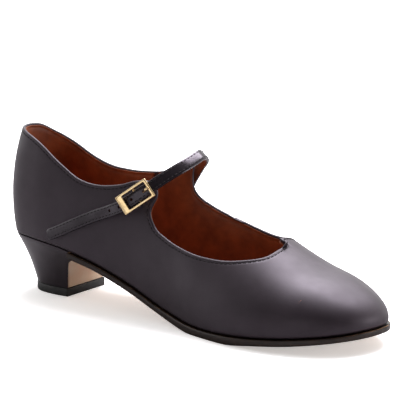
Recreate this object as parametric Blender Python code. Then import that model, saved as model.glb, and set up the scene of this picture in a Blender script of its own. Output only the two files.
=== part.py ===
"""Dance shoe for the right foot: one-strap court shoe with a covered heel.

The shoe points its toe along +X, its outer side faces -Y and it stands on z = 0.
Lengths below are in millimetres; MM turns them into metres when a mesh is made.
Shapes are first laid out from the back of the heel (x = 0) to the toe (x = 249),
then every object is placed about the middle of the shoe.
"""
from math import cos, pi, sin

import bmesh
import bpy
import numpy as np
from mathutils import Matrix, Vector

MM = 0.001
CENTRE = (125.99, -1.22, 0.0)         # middle of the shoe's footprint, taken as the origin
GAP = 0.3                            # clearance between touching pieces

# ---- last: plan outline of the bottom edge of the upper, from heel to toe ----
OUTER_EDGE = [(4, 0), (7.5, -12), (16, -21.5), (32, -26.5), (55, -27), (80, -25.5), (105, -25.5),
              (130, -29), (155, -35.5), (178, -39.0), (200, -37.8), (220, -32.2), (237, -21.8),
              (247.3, -6.5), (249.2, 5)]
INNER_EDGE = [(4, 0), (7.5, 12), (16, 21), (32, 25.5), (55, 25), (80, 22), (105, 21), (130, 25),
              (152, 31.5), (172, 36), (192, 36.5), (212, 34), (228, 29), (240.5, 21),
              (247.5, 12.5), (249.2, 5)]
# ---- last: heights and fullness along the length (x, value) ----
FEATHER = [(0, 33), (25, 33.8), (50, 31.6), (75, 25.8), (100, 17.6), (125, 9.0), (150, 4.6),
           (175, 4.6), (200, 6.3), (225, 9.0), (250, 12.3)]
OUTER_ROOF = [(0, 124), (40, 119), (80, 107), (110, 91), (140, 73), (165, 59), (185, 49.4),
              (205, 39.8), (225, 34.3), (250, 27.2)]
INNER_ROOF = [(0, 124), (40, 119), (80, 113), (110, 107), (140, 84), (165, 61.5), (185, 49.4),
              (205, 39.8), (225, 34.3), (250, 27.2)]
ROUNDNESS = [(0, 2.1), (60, 2.2), (120, 2.3), (180, 2.1), (215, 2.45), (250, 2.85)]
BULGE = [(0, 0.2), (30, 0.06), (80, 0.05), (150, 0.05), (215, 0.035), (250, 0.02)]
SPINE = [(0, 0), (60, 0), (120, 3), (170, 4), (210, 5), (250, 6)]
SPINE_ENDS = (30.0, 214.0)           # the roof line runs between these two stations

# ---- topline: place round the foot (0 heel, 1 toe), angle up the side in degrees,
# ---- and the place on the bottom edge from which the upper rises to that point
OUTER_TOPLINE = [(0, 42, 0), (0.08, 42.3, 0.085), (0.16, 38, 0.165), (0.215, 32.5, 0.215),
                 (0.268, 29.3, 0.262), (0.312, 31, 0.30), (0.358, 37, 0.335),
                 (0.40, 46.5, 0.362), (0.425, 51, 0.378), (0.443, 50.5, 0.392),
                 (0.4485, 45.5, 0.406), (0.442, 40, 0.418), (0.4405, 35, 0.43),
                 (0.455, 31, 0.447), (0.49, 30.5, 0.482), (0.535, 33, 0.53),
                 (0.592, 38.7, 0.595), (0.655, 48.7, 0.66), (0.70, 63.5, 0.712),
                 (0.709, 90, 0.76)]
INNER_TOPLINE = [(0, 42, 0), (0.032, 41, 0.035), (0.075, 36.5, 0.075), (0.118, 32, 0.118),
                 (0.168, 27, 0.165), (0.218, 25.3, 0.212), (0.268, 26.5, 0.255),
                 (0.33, 30, 0.312), (0.375, 33.5, 0.35), (0.42, 40.5, 0.383),
                 (0.442, 47, 0.397), (0.4525, 47.8, 0.405), (0.4545, 44.5, 0.411),
                 (0.4505, 40, 0.418), (0.4475, 35.5, 0.426), (0.449, 32, 0.435),
                 (0.459, 30.2, 0.452), (0.485, 30, 0.482), (0.535, 32.5, 0.531),
                 (0.592, 37.5, 0.592), (0.655, 47.5, 0.655), (0.70, 63, 0.71),
                 (0.709, 90, 0.76)]
THROAT = 187.0                       # station of the front of the opening
TOPLINE_COLUMNS = 30
VAMP_COLUMNS = 8
TOE_COLUMN = TOPLINE_COLUMNS + VAMP_COLUMNS
WALL_ROWS = 6
EDGING_HEIGHT = 1.0
EDGING_GAP = 0.7

# ---- layers of the upper: depth of outer face, thickness ----
LEATHER = (0.0, 1.2)
STIFFENER = (1.5, 1.0)
LINING = (2.8, 0.8)
MARGIN = 9.0                         # lasting margin turned under the foot
SEAM_INNER = 0.535                   # inner-side seam of the leather, as place round the foot
SEAM_LINING = 0.37
COUNTER_END = 0.27
PUFF_START = 0.80

# ---- bottom ----
BREAST = 58.0                        # station where the heel's front face meets the sole
SOLE_PROUD = 1.3
TREAD = [(50, 28.2), (75, 22.3), (100, 14.0), (120, 6.9), (136, 2.3), (150, 0.0), (165, 0.0),
         (178, 0.0), (195, 2.0), (215, 4.2), (235, 6.9), (250, 9.0)]
BOARD = (4.4, 2.0)                   # underside above the feather line, thickness
BOARD_INSET = [(0, 4.4), (90, 4.4), (110, 4.7), (130, 4.7), (180, 4.5), (200, 4.6), (225, 5.3),
               (250, 6.3)]
SOCK_LIFT = [(0, 2.9), (40, 2.9), (56, 1.9), (70, 0.9), (80, 0.3), (100, 0.0), (250, 0.0)]
SOCK_THICKNESS = 0.8
DECK_SPAN = (9.4, 239.6)             # ends of the insole board and of the sock lining
SOCK_INSET = [(0, 5.0), (130, 5.0), (170, 5.1), (215, 5.8), (235, 6.9), (250, 8.2)]
PAD_SPAN = (12.0, 72.0)
SHANK = (36.0, 140.0, 12.0, 1.2)     # from, to, width, thickness
FILLER_SPAN = (146.0, 228.0)

# ---- heel ----
HEEL_BACK = 17.5                     # stations of the bottom of the heel
HEEL_FRONT = 48.7
HEEL_HALF = 16.6
HEEL_BOTTOM = [(1.0, 1.0), (0.62, 1.03), (0.34, 0.94), (0.13, 0.68), (0.02, 0.27), (0.0, 0.0)]
LIFT = 4.8
COVER = 0.8
BREAST_COVER = 1.0
HEEL_ROWS = 6
SCREW = (30.0, 0.0, 2.2, 24.0)       # x, y, radius, length under the head
SCREW_HEAD = (4.0, 1.0)              # radius, thickness
NAILS = [(19.0, -9.0), (19.0, 9.0), (42.0, -9.5), (42.0, 9.5)]
NAIL_RADIUS = 0.9
NAIL_HEAD = (1.6, 0.6)
NAIL_LENGTH = 19.0
PINS = [(25.0, 0.0), (40.0, -8.5), (40.0, 8.5)]
PIN_RADIUS = 1.3
PIN_SPAN = (1.6, 12.0)

# ---- strap: centre line from the sewn inner end to the tail, with its width direction ----
STRAP_PATH = [((106.5, 23.3, 67.5), (0.83, 0.0, -0.55)),
              ((110.5, 22.2, 73.0), (0.82, 0.0, -0.57)),
              ((115.3, 20.9, 79.0), (0.80, 0.0, -0.60)),
              ((120.6, 18.4, 84.6), (0.79, 0.0, -0.61)),
              ((124.2, 12.0, 88.0), (0.78, 0.0, -0.62)),
              ((124.8, 0.0, 85.9), (0.76, 0.0, -0.65)),
              ((120.2, -14.6, 80.0), (0.70, 0.0, -0.71)),
              ((114.3, -22.3, 74.2), (0.62, 0.04, -0.78)),
              ((108.0, -26.8, 68.9), (0.60, 0.10, -0.79)),
              ((100.6, -29.9, 63.4), (0.53, 0.0, -0.85)),
              ((89.8, -28.2, 58.5), (0.47, -0.12, -0.87)),
              ((77.7, -27.7, 53.6), (0.44, -0.18, -0.88)),
              ((63.7, -28.9, 47.0), (0.44, -0.19, -0.88)),
              ((54.5, -29.3, 42.5), (0.45, -0.19, -0.87)),
              ((46.0, -29.3, 38.6), (0.47, -0.19, -0.86))]
STRAP_WIDTH = 6.6
STRAP_OUTER = (-0.05, 1.05)          # level of the two faces above the centre line
STRAP_INNER = (-1.05, -0.35)
STRAP_HINGE = 2                      # index of the path point on the fold line
STRAP_STEPS = 48

# ---- buckle: centre on the strap, long direction, outward direction ----
BUCKLE_AT = (108.0, -26.8, 68.9)
BUCKLE_ALONG = (0.687, 0.445, 0.572)
BUCKLE_OUT = (0.413, -0.893, 0.198)
FRAME_LONG = 20.0
FRAME_WIDE = 11.2
FRAME_WIDE_BAR = 3.8
FRAME_END_BAR = 1.9
FRAME_SIDE_BAR = 1.5
FRAME_THICK = 1.6
FRAME_ABOVE_BAR = 4.5                # underside of the frame above the bar's centre
BAR_BELOW_STRAP = 3.1                # bar's centre below the strap's centre line
BAR_RADIUS = 0.7
LUG_HALF = 1.4
HOOK_RADIUS = 1.3                    # centre line of the strip bent round the bar
PRONG_THICK = 0.6
PRONG_WIDE = 1.3
PRONG_PATH = [(2.0, -1.3), (3.8, -0.6), (5.2, 1.4), (5.8, 4.0), (6.5, 6.2), (7.4, 6.95),
              (9.8, 7.0)]            # from under the bar, through the strap, to the end bar
HOLE_AT = 5.4                        # punched hole the prong passes, from the bar
HOLE_RADIUS = 1.5
CHAPE_THICK = 0.7
CHAPE_WIDE = 6.6
CHAPE_TONGUE = 10.0
CHAPE_SLOPE = 0.14                   # the tongue sinks towards the upper


# ------------------------------------------------------------------ shape of the last
def spline(knots, at):
    """Smooth curve through (x, value) knots, read at one or many x."""
    xs, ys = np.array(knots, float).T
    at = np.asarray(at, float)
    slope = np.gradient(ys, xs)
    i = np.clip(np.searchsorted(xs, at) - 1, 0, len(xs) - 2)
    step = xs[i + 1] - xs[i]
    t = np.clip((at - xs[i]) / step, 0, 1)
    rise = (2 * t**3 - 3 * t**2 + 1) * ys[i] + (3 * t**2 - 2 * t**3) * ys[i + 1]
    return rise + (t**3 - 2 * t**2 + t) * step * slope[i] + (t**3 - t**2) * step * slope[i + 1]


def soft_clamp(x, low, high, softness=8.0):
    """x held between low and high, with rounded ends."""
    x = low + softness * np.logaddexp(0, (x - low) / softness)
    return high - softness * np.logaddexp(0, (high - x) / softness)


def curve_through(points, closed_tangents=False):
    """Function giving a point at 0..1 of the length of a smooth curve through points."""
    pts = np.array(points, float)
    length = np.insert(np.cumsum(np.linalg.norm(np.diff(pts, axis=0), axis=1)), 0, 0)
    length /= length[-1]
    slope = np.gradient(pts, length, axis=0)
    if closed_tangents:
        slope[0, 0] = slope[-1, 0] = 0.0

    def at(s):
        s = np.asarray(s, float)
        i = np.clip(np.searchsorted(length, s) - 1, 0, len(length) - 2)
        step = (length[i + 1] - length[i])[..., None]
        t = np.clip((s - length[i])[..., None] / step, 0, 1)
        rise = (2 * t**3 - 3 * t**2 + 1) * pts[i] + (3 * t**2 - 2 * t**3) * pts[i + 1]
        bend = (t**3 - 2 * t**2 + t) * step * slope[i] + (t**3 - t**2) * step * slope[i + 1]
        return rise + bend
    return at


OUTLINE = {-1: curve_through(OUTER_EDGE, True), 1: curve_through(INNER_EDGE, True)}
ROOF = {-1: OUTER_ROOF, 1: INNER_ROOF}
TOPLINE = {-1: curve_through([(u, a / 250, low) for u, a, low in OUTER_TOPLINE]),
           1: curve_through([(u, a / 250, low) for u, a, low in INNER_TOPLINE])}


def last_point(side, place, angle):
    """Point on the outside of the upper; angle 0 at the feather edge, 90 on the ridge."""
    foot = OUTLINE[side](place)
    mid_x = soft_clamp(foot[..., 0], *SPINE_ENDS)
    mid_y = spline(SPINE, mid_x)
    power = 2 / spline(ROUNDNESS, foot[..., 0])
    reach = np.maximum(np.cos(np.radians(angle)), 0) ** power
    lift = np.sin(np.radians(angle)) ** power
    full = 4 * spline(BULGE, foot[..., 0]) * lift * (1 - lift) * (1 - 0.4 * lift)
    reach = reach * (1 + full)
    x = mid_x + (foot[..., 0] - mid_x) * reach
    y = mid_y + (foot[..., 1] - mid_y) * reach
    base = spline(FEATHER, foot[..., 0])
    return np.stack([x, y, base + (spline(ROOF[side], x) - base) * lift], axis=-1)


def edge_y(side, x, inset):
    """Y of the plan outline, moved inwards by inset (a number, or knots along x)."""
    line = OUTLINE[side](np.linspace(0, 1, 240))
    if isinstance(inset, list):
        inset = spline(inset, line[:, 0])[:, None]
    run = np.gradient(line, axis=0)
    inward = np.stack([-run[:, 1], run[:, 0]], axis=1) * -side
    line = line + inward / np.linalg.norm(inward, axis=1)[:, None] * inset
    order = np.argsort(line[:, 0])
    return np.interp(x, line[order, 0], line[order, 1])


# ------------------------------------------------------------------ grid of the upper
def even_spacing(side):
    """Steps along the topline of equal length, shorter round the back of the heel."""
    t = np.linspace(0, 1, 600)
    place, angle, _ = (TOPLINE[side](t) * (1, 250, 1)).T
    length = np.linalg.norm(np.diff(last_point(side, place, angle), axis=0), axis=1)
    travelled = np.cumsum(length)
    weight = np.insert(np.cumsum(length * (1 + np.exp(-(travelled / 30) ** 2))), 0, 0)
    return np.interp(np.linspace(0, weight[-1], TOPLINE_COLUMNS + 1), weight, t)


def side_columns(side):
    """Columns of points from the margin up to the topline, heel to toe, for one side."""
    top = TOPLINE[side](even_spacing(side)) * (1, 250, 1)
    dense = np.linspace(0.6, 1, 400)
    ridge_x = soft_clamp(OUTLINE[side](dense)[:, 0], *SPINE_ENDS)
    ridge = np.interp(np.linspace(THROAT, ridge_x[-1] - 0.05, VAMP_COLUMNS + 1), ridge_x, dense)
    ridge[-1] = 1.0
    low = np.linspace(top[-1, 2], 1, VAMP_COLUMNS + 1)
    foot = np.concatenate([top[:, 2], low[1:]])
    high = np.concatenate([top[:, 0], ridge[1:]])
    angle = np.concatenate([top[:, 1], np.full(VAMP_COLUMNS, 90.0)])
    rows = np.linspace(0, 1, WALL_ROWS + 1)
    lean = foot[:, None] + (high - foot)[:, None] * rows ** 2.2
    wall = last_point(side, lean, angle[:, None] * rows)
    run = np.gradient(wall[:, 0, :2], axis=0)
    inward = np.stack([-run[:, 1], run[:, 0]], axis=1) * -side
    inward /= np.linalg.norm(inward, axis=1)[:, None]
    margin = wall[:, 0].copy()
    margin[:, :2] += inward * MARGIN
    margin[:, 2] = spline(FEATHER, margin[:, 0])
    return np.concatenate([margin[:, None], wall], axis=1), foot


def unit(vectors):
    return vectors / np.maximum(np.linalg.norm(vectors, axis=-1, keepdims=True), 1e-9)


def upper_ring():
    """All columns once round the shoe: outer side heel to toe, inner side toe to heel."""
    outer, outer_place = side_columns(-1)
    inner, inner_place = side_columns(1)
    inner[TOPLINE_COLUMNS:, -1] = outer[TOPLINE_COLUMNS:, -1]
    inner[0] = outer[0]
    inner[-1] = outer[-1]
    return np.concatenate([outer, inner[-2::-1]]), outer_place, inner_place


def opening_columns(ring):
    """Ring indices of the columns that end on the topline, once round the opening."""
    rear = len(ring) - 1 - TOPLINE_COLUMNS
    return np.concatenate([np.arange(TOPLINE_COLUMNS + 1), np.arange(rear + 1, len(ring) - 1)])


def opening_frame(ring):
    """Topline points and the direction down the upper at each."""
    top = ring[opening_columns(ring), -1]
    along = unit(np.roll(top, -1, axis=0) - np.roll(top, 1, axis=0))
    out = surface_normals(ring)[opening_columns(ring), -1]
    return top.copy(), unit(np.cross(along, out))


def split_quad(quad, mirrored):
    """Two triangles of a quad, along either diagonal."""
    a, b, c, d = quad
    if mirrored:
        return (a, b, d), (b, c, d)
    return (a, b, c), (a, c, d)


def flatter_diagonals(ring):
    """True where a quad of the grid bends less along its second diagonal."""
    a, b, c, d = ring[:-1, :-1], ring[1:, :-1], ring[1:, 1:], ring[:-1, 1:]
    first = unit(np.cross(b - a, c - a)) * unit(np.cross(c - a, d - a))
    second = unit(np.cross(b - a, d - a)) * unit(np.cross(c - b, d - b))
    return second.sum(axis=-1) > first.sum(axis=-1) + 0.02


def surface_normals(ring):
    """Outward direction at each grid point, lengthened at folds so layers keep thickness."""
    flat = ring.reshape(-1, 3)
    keys, ids = np.unique(np.round(flat, 2), axis=0, return_inverse=True)
    ids = ids.reshape(ring.shape[:2])
    normal = np.zeros((len(keys), 3))
    faces = []
    for j in range(ring.shape[0] - 1):
        for i in range(ring.shape[1] - 1):
            quad = (ids[j, i], ids[j + 1, i], ids[j + 1, i + 1], ids[j, i + 1])
            faces.extend(split_quad(quad, OTHER_WAY[j, i]))
    faces = np.array([f for f in faces if len(set(f)) == 3])
    a, b, c = keys[faces[:, 0]], keys[faces[:, 1]], keys[faces[:, 2]]
    across = unit(np.cross(b - a, c - a))
    corners = ((a, b, c), (b, c, a), (c, a, b))
    for k, (here, left, right) in enumerate(corners):
        swing = np.arccos(np.clip(np.sum(unit(left - here) * unit(right - here), axis=1), -1, 1))
        np.add.at(normal, faces[:, k], across * swing[:, None])
    normal = unit(normal)
    lean = np.ones(len(keys))
    for k in range(3):
        np.minimum.at(lean, faces[:, k], np.sum(normal[faces[:, k]] * across, axis=1))
    return (normal / np.clip(lean, 0.7, 1)[:, None])[ids]


RING, OUTER_PLACE, INNER_PLACE = upper_ring()
OTHER_WAY = flatter_diagonals(RING)
OPENING = opening_frame(RING)
RING[opening_columns(RING), -1] += OPENING[1] * (EDGING_HEIGHT + EDGING_GAP)
RING[-1] = RING[0]
RING[len(RING) - 1 - TOPLINE_COLUMNS, -1] = RING[TOPLINE_COLUMNS, -1]
OTHER_WAY = flatter_diagonals(RING)
OUTWARD = surface_normals(RING)


def column_at(side, place):
    """Index in the ring of the column standing nearest to a place round the foot."""
    if side < 0:
        return int(np.argmin(np.abs(OUTER_PLACE - place)))
    return 2 * TOE_COLUMN - int(np.argmin(np.abs(INNER_PLACE - place)))


# ------------------------------------------------------------------ making objects
def material(name, colour, roughness, metallic=0.0):
    """Plain Principled material in the piece's colour."""
    mat = bpy.data.materials.new(name)
    mat.use_nodes = True
    shader = mat.node_tree.nodes["Principled BSDF"]
    shader.inputs["Base Color"].default_value = (*colour, 1)
    shader.inputs["Roughness"].default_value = roughness
    shader.inputs["Metallic"].default_value = metallic
    return mat


def black_leather(name):
    return material(name, (0.020, 0.018, 0.021), 0.42)


def brown_leather(name):
    return material(name, (0.30, 0.085, 0.022), 0.55)


def tan_leather(name):
    return material(name, (0.72, 0.42, 0.23), 0.6)


def steel(name):
    return material(name, (0.55, 0.56, 0.58), 0.35, 1.0)


def gold(name):
    return material(name, (0.83, 0.58, 0.27), 0.25, 1.0)


def board(name):
    return material(name, (0.50, 0.38, 0.25), 0.85)


def place(bm, name, look, parent=None):
    """Turn a bmesh laid out in shoe millimetres into a named object about the origin."""
    home = Vector(CENTRE) if parent is None else Vector(parent["at_mm"])
    bmesh.ops.translate(bm, verts=bm.verts, vec=-home)
    bmesh.ops.scale(bm, verts=bm.verts, vec=(MM, MM, MM))
    bmesh.ops.recalc_face_normals(bm, faces=bm.faces)
    if bm.calc_volume(signed=True) < 0:
        bmesh.ops.reverse_faces(bm, faces=bm.faces)
    mesh = bpy.data.meshes.new(name)
    bm.to_mesh(mesh)
    bm.free()
    mesh.materials.append(look(name))
    obj = bpy.data.objects.new(name, mesh)
    bpy.context.collection.objects.link(obj)
    if parent is not None:
        obj.parent = parent
    return obj


def pivot(name, at, parent=None):
    """Empty on a joint's axis; at is in shoe millimetres."""
    empty = bpy.data.objects.new(name, None)
    empty["at_mm"] = at
    start = Vector(CENTRE) if parent is None else Vector(parent["at_mm"])
    empty.location = (Vector(at) - start) * MM
    empty.empty_display_size = 0.01
    bpy.context.collection.objects.link(empty)
    empty.parent = parent
    return empty


def cut(obj, cutter):
    """Boolean difference with a hidden cutter."""
    cutter.hide_render = True
    cutter.display_type = "WIRE"
    cutter.parent = obj.parent
    tool = obj.modifiers.new("holes", "BOOLEAN")
    tool.object = cutter
    tool.solver = "EXACT"


def strip_of(bm, grid, mirrored=None):
    """Triangles between rows of vertices; mirrored marks quads split the other way."""
    for j, (a, b) in enumerate(zip(grid, grid[1:])):
        for k in range(len(a) - 1):
            other = mirrored is not None and mirrored[j][k]
            for corner in split_quad((a[k], b[k], b[k + 1], a[k + 1]), other):
                if len(set(corner)) == 3 and bm.faces.get(corner) is None:
                    bm.faces.new(corner)


def close_skin(bm, inner):
    """Close an open skin against a copy of it; inner gives each vertex its partner."""
    borders = [(e.link_loops[0].vert, e.link_loops[0].link_loop_next.vert)
               for e in bm.edges if e.is_boundary]
    for face in list(bm.faces):
        bm.faces.new([inner[v] for v in reversed(face.verts)])
    for a, b in borders:
        bm.faces.new((b, a, inner[a]))
        bm.faces.new((b, inner[a], inner[b]))


def skin(name, look, first, last, layer, top_row=None):
    """A layer of the upper over the ring columns first..last, with seam gaps at both ends."""
    depth, thickness = layer
    wanted = [(first + k) % (len(RING) - 1) for k in range(last - first + 1)]
    columns = RING[wanted, :top_row].copy()
    outward = OUTWARD[wanted, :top_row]
    for end, following in ((0, 1), (-1, -2)):
        step = columns[following] - columns[end]
        size = np.linalg.norm(step, axis=1, keepdims=True)
        columns[end] += np.where(size > 0.5, step * GAP / np.maximum(size, 0.5), 0)
    bm = bmesh.new()
    known = {}
    inner = {}

    def vertex(p, out):
        key = tuple(np.round(p, 2))
        if key not in known:
            known[key] = bm.verts.new(p - out * depth)
            inner[known[key]] = p - out * (depth + thickness)
        return known[key]

    grid = [[vertex(p, out) for p, out in zip(*pair)] for pair in zip(columns, outward)]
    strip_of(bm, grid, OTHER_WAY[wanted[:-1]])
    close_skin(bm, {v: bm.verts.new(p) for v, p in inner.items()})
    return place(bm, name, look)


# ------------------------------------------------------------------ upper
def leather_pieces():
    seam = column_at(1, SEAM_INNER)
    skin("outer_side_leather", black_leather, 0, seam, LEATHER)
    skin("inner_quarter_leather", black_leather, seam, len(RING) - 1, LEATHER)


def lining_pieces():
    front = column_at(-1, SEAM_LINING)
    rear = column_at(1, SEAM_LINING)
    skin("vamp_lining", brown_leather, front, rear, LINING)
    skin("quarter_lining", brown_leather, rear, front + len(RING) - 1, LINING)


def stiffeners():
    heel_outer = column_at(-1, COUNTER_END)
    heel_inner = column_at(1, COUNTER_END)
    toe_outer = column_at(-1, PUFF_START)
    toe_inner = column_at(1, PUFF_START)
    skin("heel_counter", board, heel_inner, heel_outer + len(RING) - 1, STIFFENER, WALL_ROWS - 1)
    skin("toe_puff", board, toe_outer, toe_inner, STIFFENER, WALL_ROWS - 1)
    skin("outer_interlining", fabric, heel_outer, toe_outer, STIFFENER, WALL_ROWS)
    skin("inner_interlining", fabric, toe_inner, heel_inner, STIFFENER, WALL_ROWS)


def fabric(name):
    return material(name, (0.62, 0.58, 0.50), 0.9)


def topline_edging():
    """Folded strip closing all the layers along the opening."""
    depth = LINING[0] + LINING[1]
    corners = [(0.0, EDGING_HEIGHT), (depth, EDGING_HEIGHT), (depth - 0.6, 0.0), (0.6, 0.0)]
    bm = bmesh.new()
    rings = []
    for top, down, out in zip(*OPENING, OUTWARD[opening_columns(RING), -1]):
        rings.append([bm.verts.new(top - out * d + down * h) for d, h in corners])
    for a, b in zip(rings, rings[1:] + rings[:1]):
        for k in range(4):
            bm.faces.new((a[k], a[(k + 1) % 4], b[(k + 1) % 4]))
            bm.faces.new((a[k], b[(k + 1) % 4], b[k]))
    place(bm, "topline_edging", black_leather)


# ------------------------------------------------------------------ bottom
def stations(start, end, count):
    """Stations from start to end, closer together at the round ends."""
    k = np.linspace(0, pi, count)
    return start + (end - start) * (1 - np.cos(k)) / 2


def slab(x, inset, under, over):
    """Closed flat piece between two heights, as wide as the outline moved in by inset."""
    bm = bmesh.new()
    rows = []
    for height in (under, over):
        left = [bm.verts.new((s, edge_y(-1, s, inset), h)) for s, h in zip(x, height)]
        right = [bm.verts.new((s, edge_y(1, s, inset), h)) for s, h in zip(x, height)]
        rows.append((left, right))
    (low_l, low_r), (top_l, top_r) = rows
    for strip in ((low_r, low_l), (top_l, top_r), (low_l, top_l), (top_r, low_r)):
        strip_of(bm, strip)
    bm.faces.new((low_l[0], low_r[0], top_r[0], top_l[0]))
    bm.faces.new((low_r[-1], low_l[-1], top_l[-1], top_r[-1]))
    return bm


def outsole():
    x = stations(BREAST + 0.6, OUTER_EDGE[-1][0] + SOLE_PROUD - 0.1, 30)
    x = np.concatenate([[BREAST + 0.6], x[x > BREAST + 6]])
    tread = np.maximum(spline(TREAD, x), 0)
    bm = slab(x, -SOLE_PROUD, tread, spline(FEATHER, x) - GAP)
    place(bm, "outsole", tan_leather)


def insole_board():
    x = stations(*DECK_SPAN, 34)
    under = spline(FEATHER, x) + BOARD[0]
    obj = place(slab(x, BOARD_INSET, under, under + BOARD[1]), "insole_board", board)
    holes = bmesh.new()
    top = board_top(SCREW[0])
    pocket = [(SCREW_HEAD[0] + GAP, 2.0), (SCREW_HEAD[0] + GAP, -SCREW_HEAD[1] - GAP)]
    turned(holes, pocket + [(SCREW[2] + GAP, -SCREW_HEAD[1] - GAP), (SCREW[2] + GAP, -6.0)],
           (SCREW[0], SCREW[1], top))
    for x, y in NAILS:
        turned(holes, [(NAIL_HEAD[0] + GAP, 2.0), (NAIL_HEAD[0] + GAP, -NAIL_HEAD[1] - GAP),
                       (NAIL_RADIUS + GAP, -NAIL_HEAD[1] - GAP), (NAIL_RADIUS + GAP, -6.0)],
               (x, y, board_top(x)))
    cut(obj, place(holes, "board_holes", board))


def board_top(x):
    """Height of the top of the insole board at a station."""
    return float(spline(FEATHER, x)) + BOARD[0] + BOARD[1]


def sock_and_pad():
    deck = BOARD[0] + BOARD[1] + GAP
    x = stations(*DECK_SPAN, 34)
    under = spline(FEATHER, x) + deck + spline(SOCK_LIFT, x)
    place(slab(x, SOCK_INSET, under, under + SOCK_THICKNESS), "sock_lining", brown_leather)
    x = stations(*PAD_SPAN, 14)
    under = spline(FEATHER, x) + deck
    over = under + spline(SOCK_LIFT, x) - GAP
    place(slab(x, 7.0, under, over), "heel_pad", foam)


def foam(name):
    return material(name, (0.86, 0.80, 0.55), 0.9)


def cork(name):
    return material(name, (0.46, 0.30, 0.16), 0.95)


def bottom_filler():
    x = stations(*FILLER_SPAN, 14)
    under = spline(FEATHER, x)
    place(slab(x, MARGIN + 0.8, under, under + BOARD[0] - GAP), "bottom_filler", cork)


def shank_steel():
    """Sprung steel strip bridging the waist, with a raised rib along its middle."""
    start, end, width, thickness = SHANK
    x = stations(start, end, 20)
    across = np.array([-width / 2, -2.0, 0.0, 2.0, width / 2])
    rib = np.array([0.0, 0.0, 0.8, 0.0, 0.0])
    bm = bmesh.new()
    rows = []
    taper = np.clip(np.sin(np.linspace(0, pi, len(x))) * 4, 0.45, 1)
    mid = spline(SPINE, x) * 0.5
    for s, m, w in zip(x, mid, taper):
        base = float(spline(FEATHER, s)) + 0.9
        rows.append([bm.verts.new((s, m + a * w, base + thickness + r))
                     for a, r in zip(across, rib)])
    strip_of(bm, rows)
    close_skin(bm, {v: bm.verts.new(v.co - Vector((0, 0, thickness))) for v in list(bm.verts)})
    place(bm, "shank_steel", steel)


# ------------------------------------------------------------------ heel
def heel_section(t, inset, setback=0.0):
    """Outer and inner half of the heel's outline, front to back; t 0 seat, 1 top piece."""
    count = 9
    back = 4.3 + inset
    x_top = BREAST - setback - (BREAST - setback - back) * np.sin(np.linspace(0, pi / 2, count))
    part = curve_through(HEEL_BOTTOM)(np.linspace(0, 1, count))
    low_back = HEEL_BACK + inset
    x_low = low_back + part[:, 0] * (HEEL_FRONT - setback - low_back)
    z_top = spline(FEATHER, x_top) - GAP
    taper = t + 0.1 * sin(pi * t)
    halves = []
    for side in (-1, 1):
        y_top = edge_y(side, x_top, GAP + inset)
        y_top[-1] = 0.0
        y = y_top * (1 - taper) + side * part[:, 1] * (HEEL_HALF - inset) * taper
        x = x_top * (1 - taper) + x_low * taper
        halves.append(np.stack([x, y, z_top * (1 - t) + (LIFT + GAP) * t], axis=1))
    return halves


def heel_block():
    """Moulded core of the heel, bored for the screw, the nails and the top piece's pins."""
    bm = bmesh.new()
    rows = []
    for t in np.linspace(0, 1, HEEL_ROWS + 1):
        outer, inner = heel_section(t, COVER + GAP, BREAST_COVER + GAP)
        rows.append([bm.verts.new(p) for p in np.concatenate([outer, inner[-2::-1]])])
    strip_of(bm, [row + row[:1] for row in rows])
    for row in (rows[0], rows[-1]):
        half = len(row) // 2
        strip_of(bm, [[row[k], row[-1 - k]] for k in range(half)])
        bm.faces.new((row[half - 1], row[half], row[half + 1]))
    block = place(bm, "heel_block", plastic)
    holes = bmesh.new()
    seat = board_top(SCREW[0])
    turned(holes, [(SCREW[2] + GAP, 0.0), (SCREW[2] + GAP, -SCREW[3] - 2.0)],
           (SCREW[0], SCREW[1], seat))
    for x, y in NAILS:
        turned(holes, [(NAIL_RADIUS + GAP, 0.0), (NAIL_RADIUS + GAP, -NAIL_LENGTH - 1.5)],
               (x, y, board_top(x)))
    for x, y in PINS:
        turned(holes, [(PIN_RADIUS + GAP, PIN_SPAN[1] + 0.8), (PIN_RADIUS + GAP, 1.0)],
               (x, y, 0.0))
    cut(block, place(holes, "block_holes", plastic))


def plastic(name):
    return material(name, (0.35, 0.34, 0.33), 0.6)


def rubber(name):
    return material(name, (0.018, 0.017, 0.017), 0.8)


def heel_cover():
    """Leather wrapped round the back and sides of the heel."""
    bm = bmesh.new()
    rows = []
    for t in np.linspace(0, 1, HEEL_ROWS + 1):
        outer, inner = heel_section(t, 0.0)
        skin_line = np.concatenate([outer, inner[-2::-1]])
        outer, inner = heel_section(t, COVER)
        core_line = np.concatenate([outer, inner[-2::-1]])
        rows.append([bm.verts.new(p) for p in np.concatenate([skin_line, core_line[::-1]])])
    strip_of(bm, [row + row[:1] for row in rows])
    for row in (rows[0], rows[-1]):
        strip_of(bm, [[row[k], row[-1 - k]] for k in range(len(row) // 2)])
    place(bm, "heel_cover", black_leather)


def heel_breast_cover():
    """Leather facing on the front of the heel."""
    bm = bmesh.new()
    rows = []
    for t in np.linspace(0, 1, HEEL_ROWS + 1):
        outer, inner = heel_section(t, COVER + GAP)
        back = np.array([BREAST_COVER, 0, 0])
        corners = (outer[0], inner[0], inner[0] - back, outer[0] - back)
        rows.append([bm.verts.new(p) for p in corners])
    strip_of(bm, [row + row[:1] for row in rows])
    for row in (rows[0], rows[-1]):
        bm.faces.new(row)
    place(bm, "heel_breast_cover", tan_leather)


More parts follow.
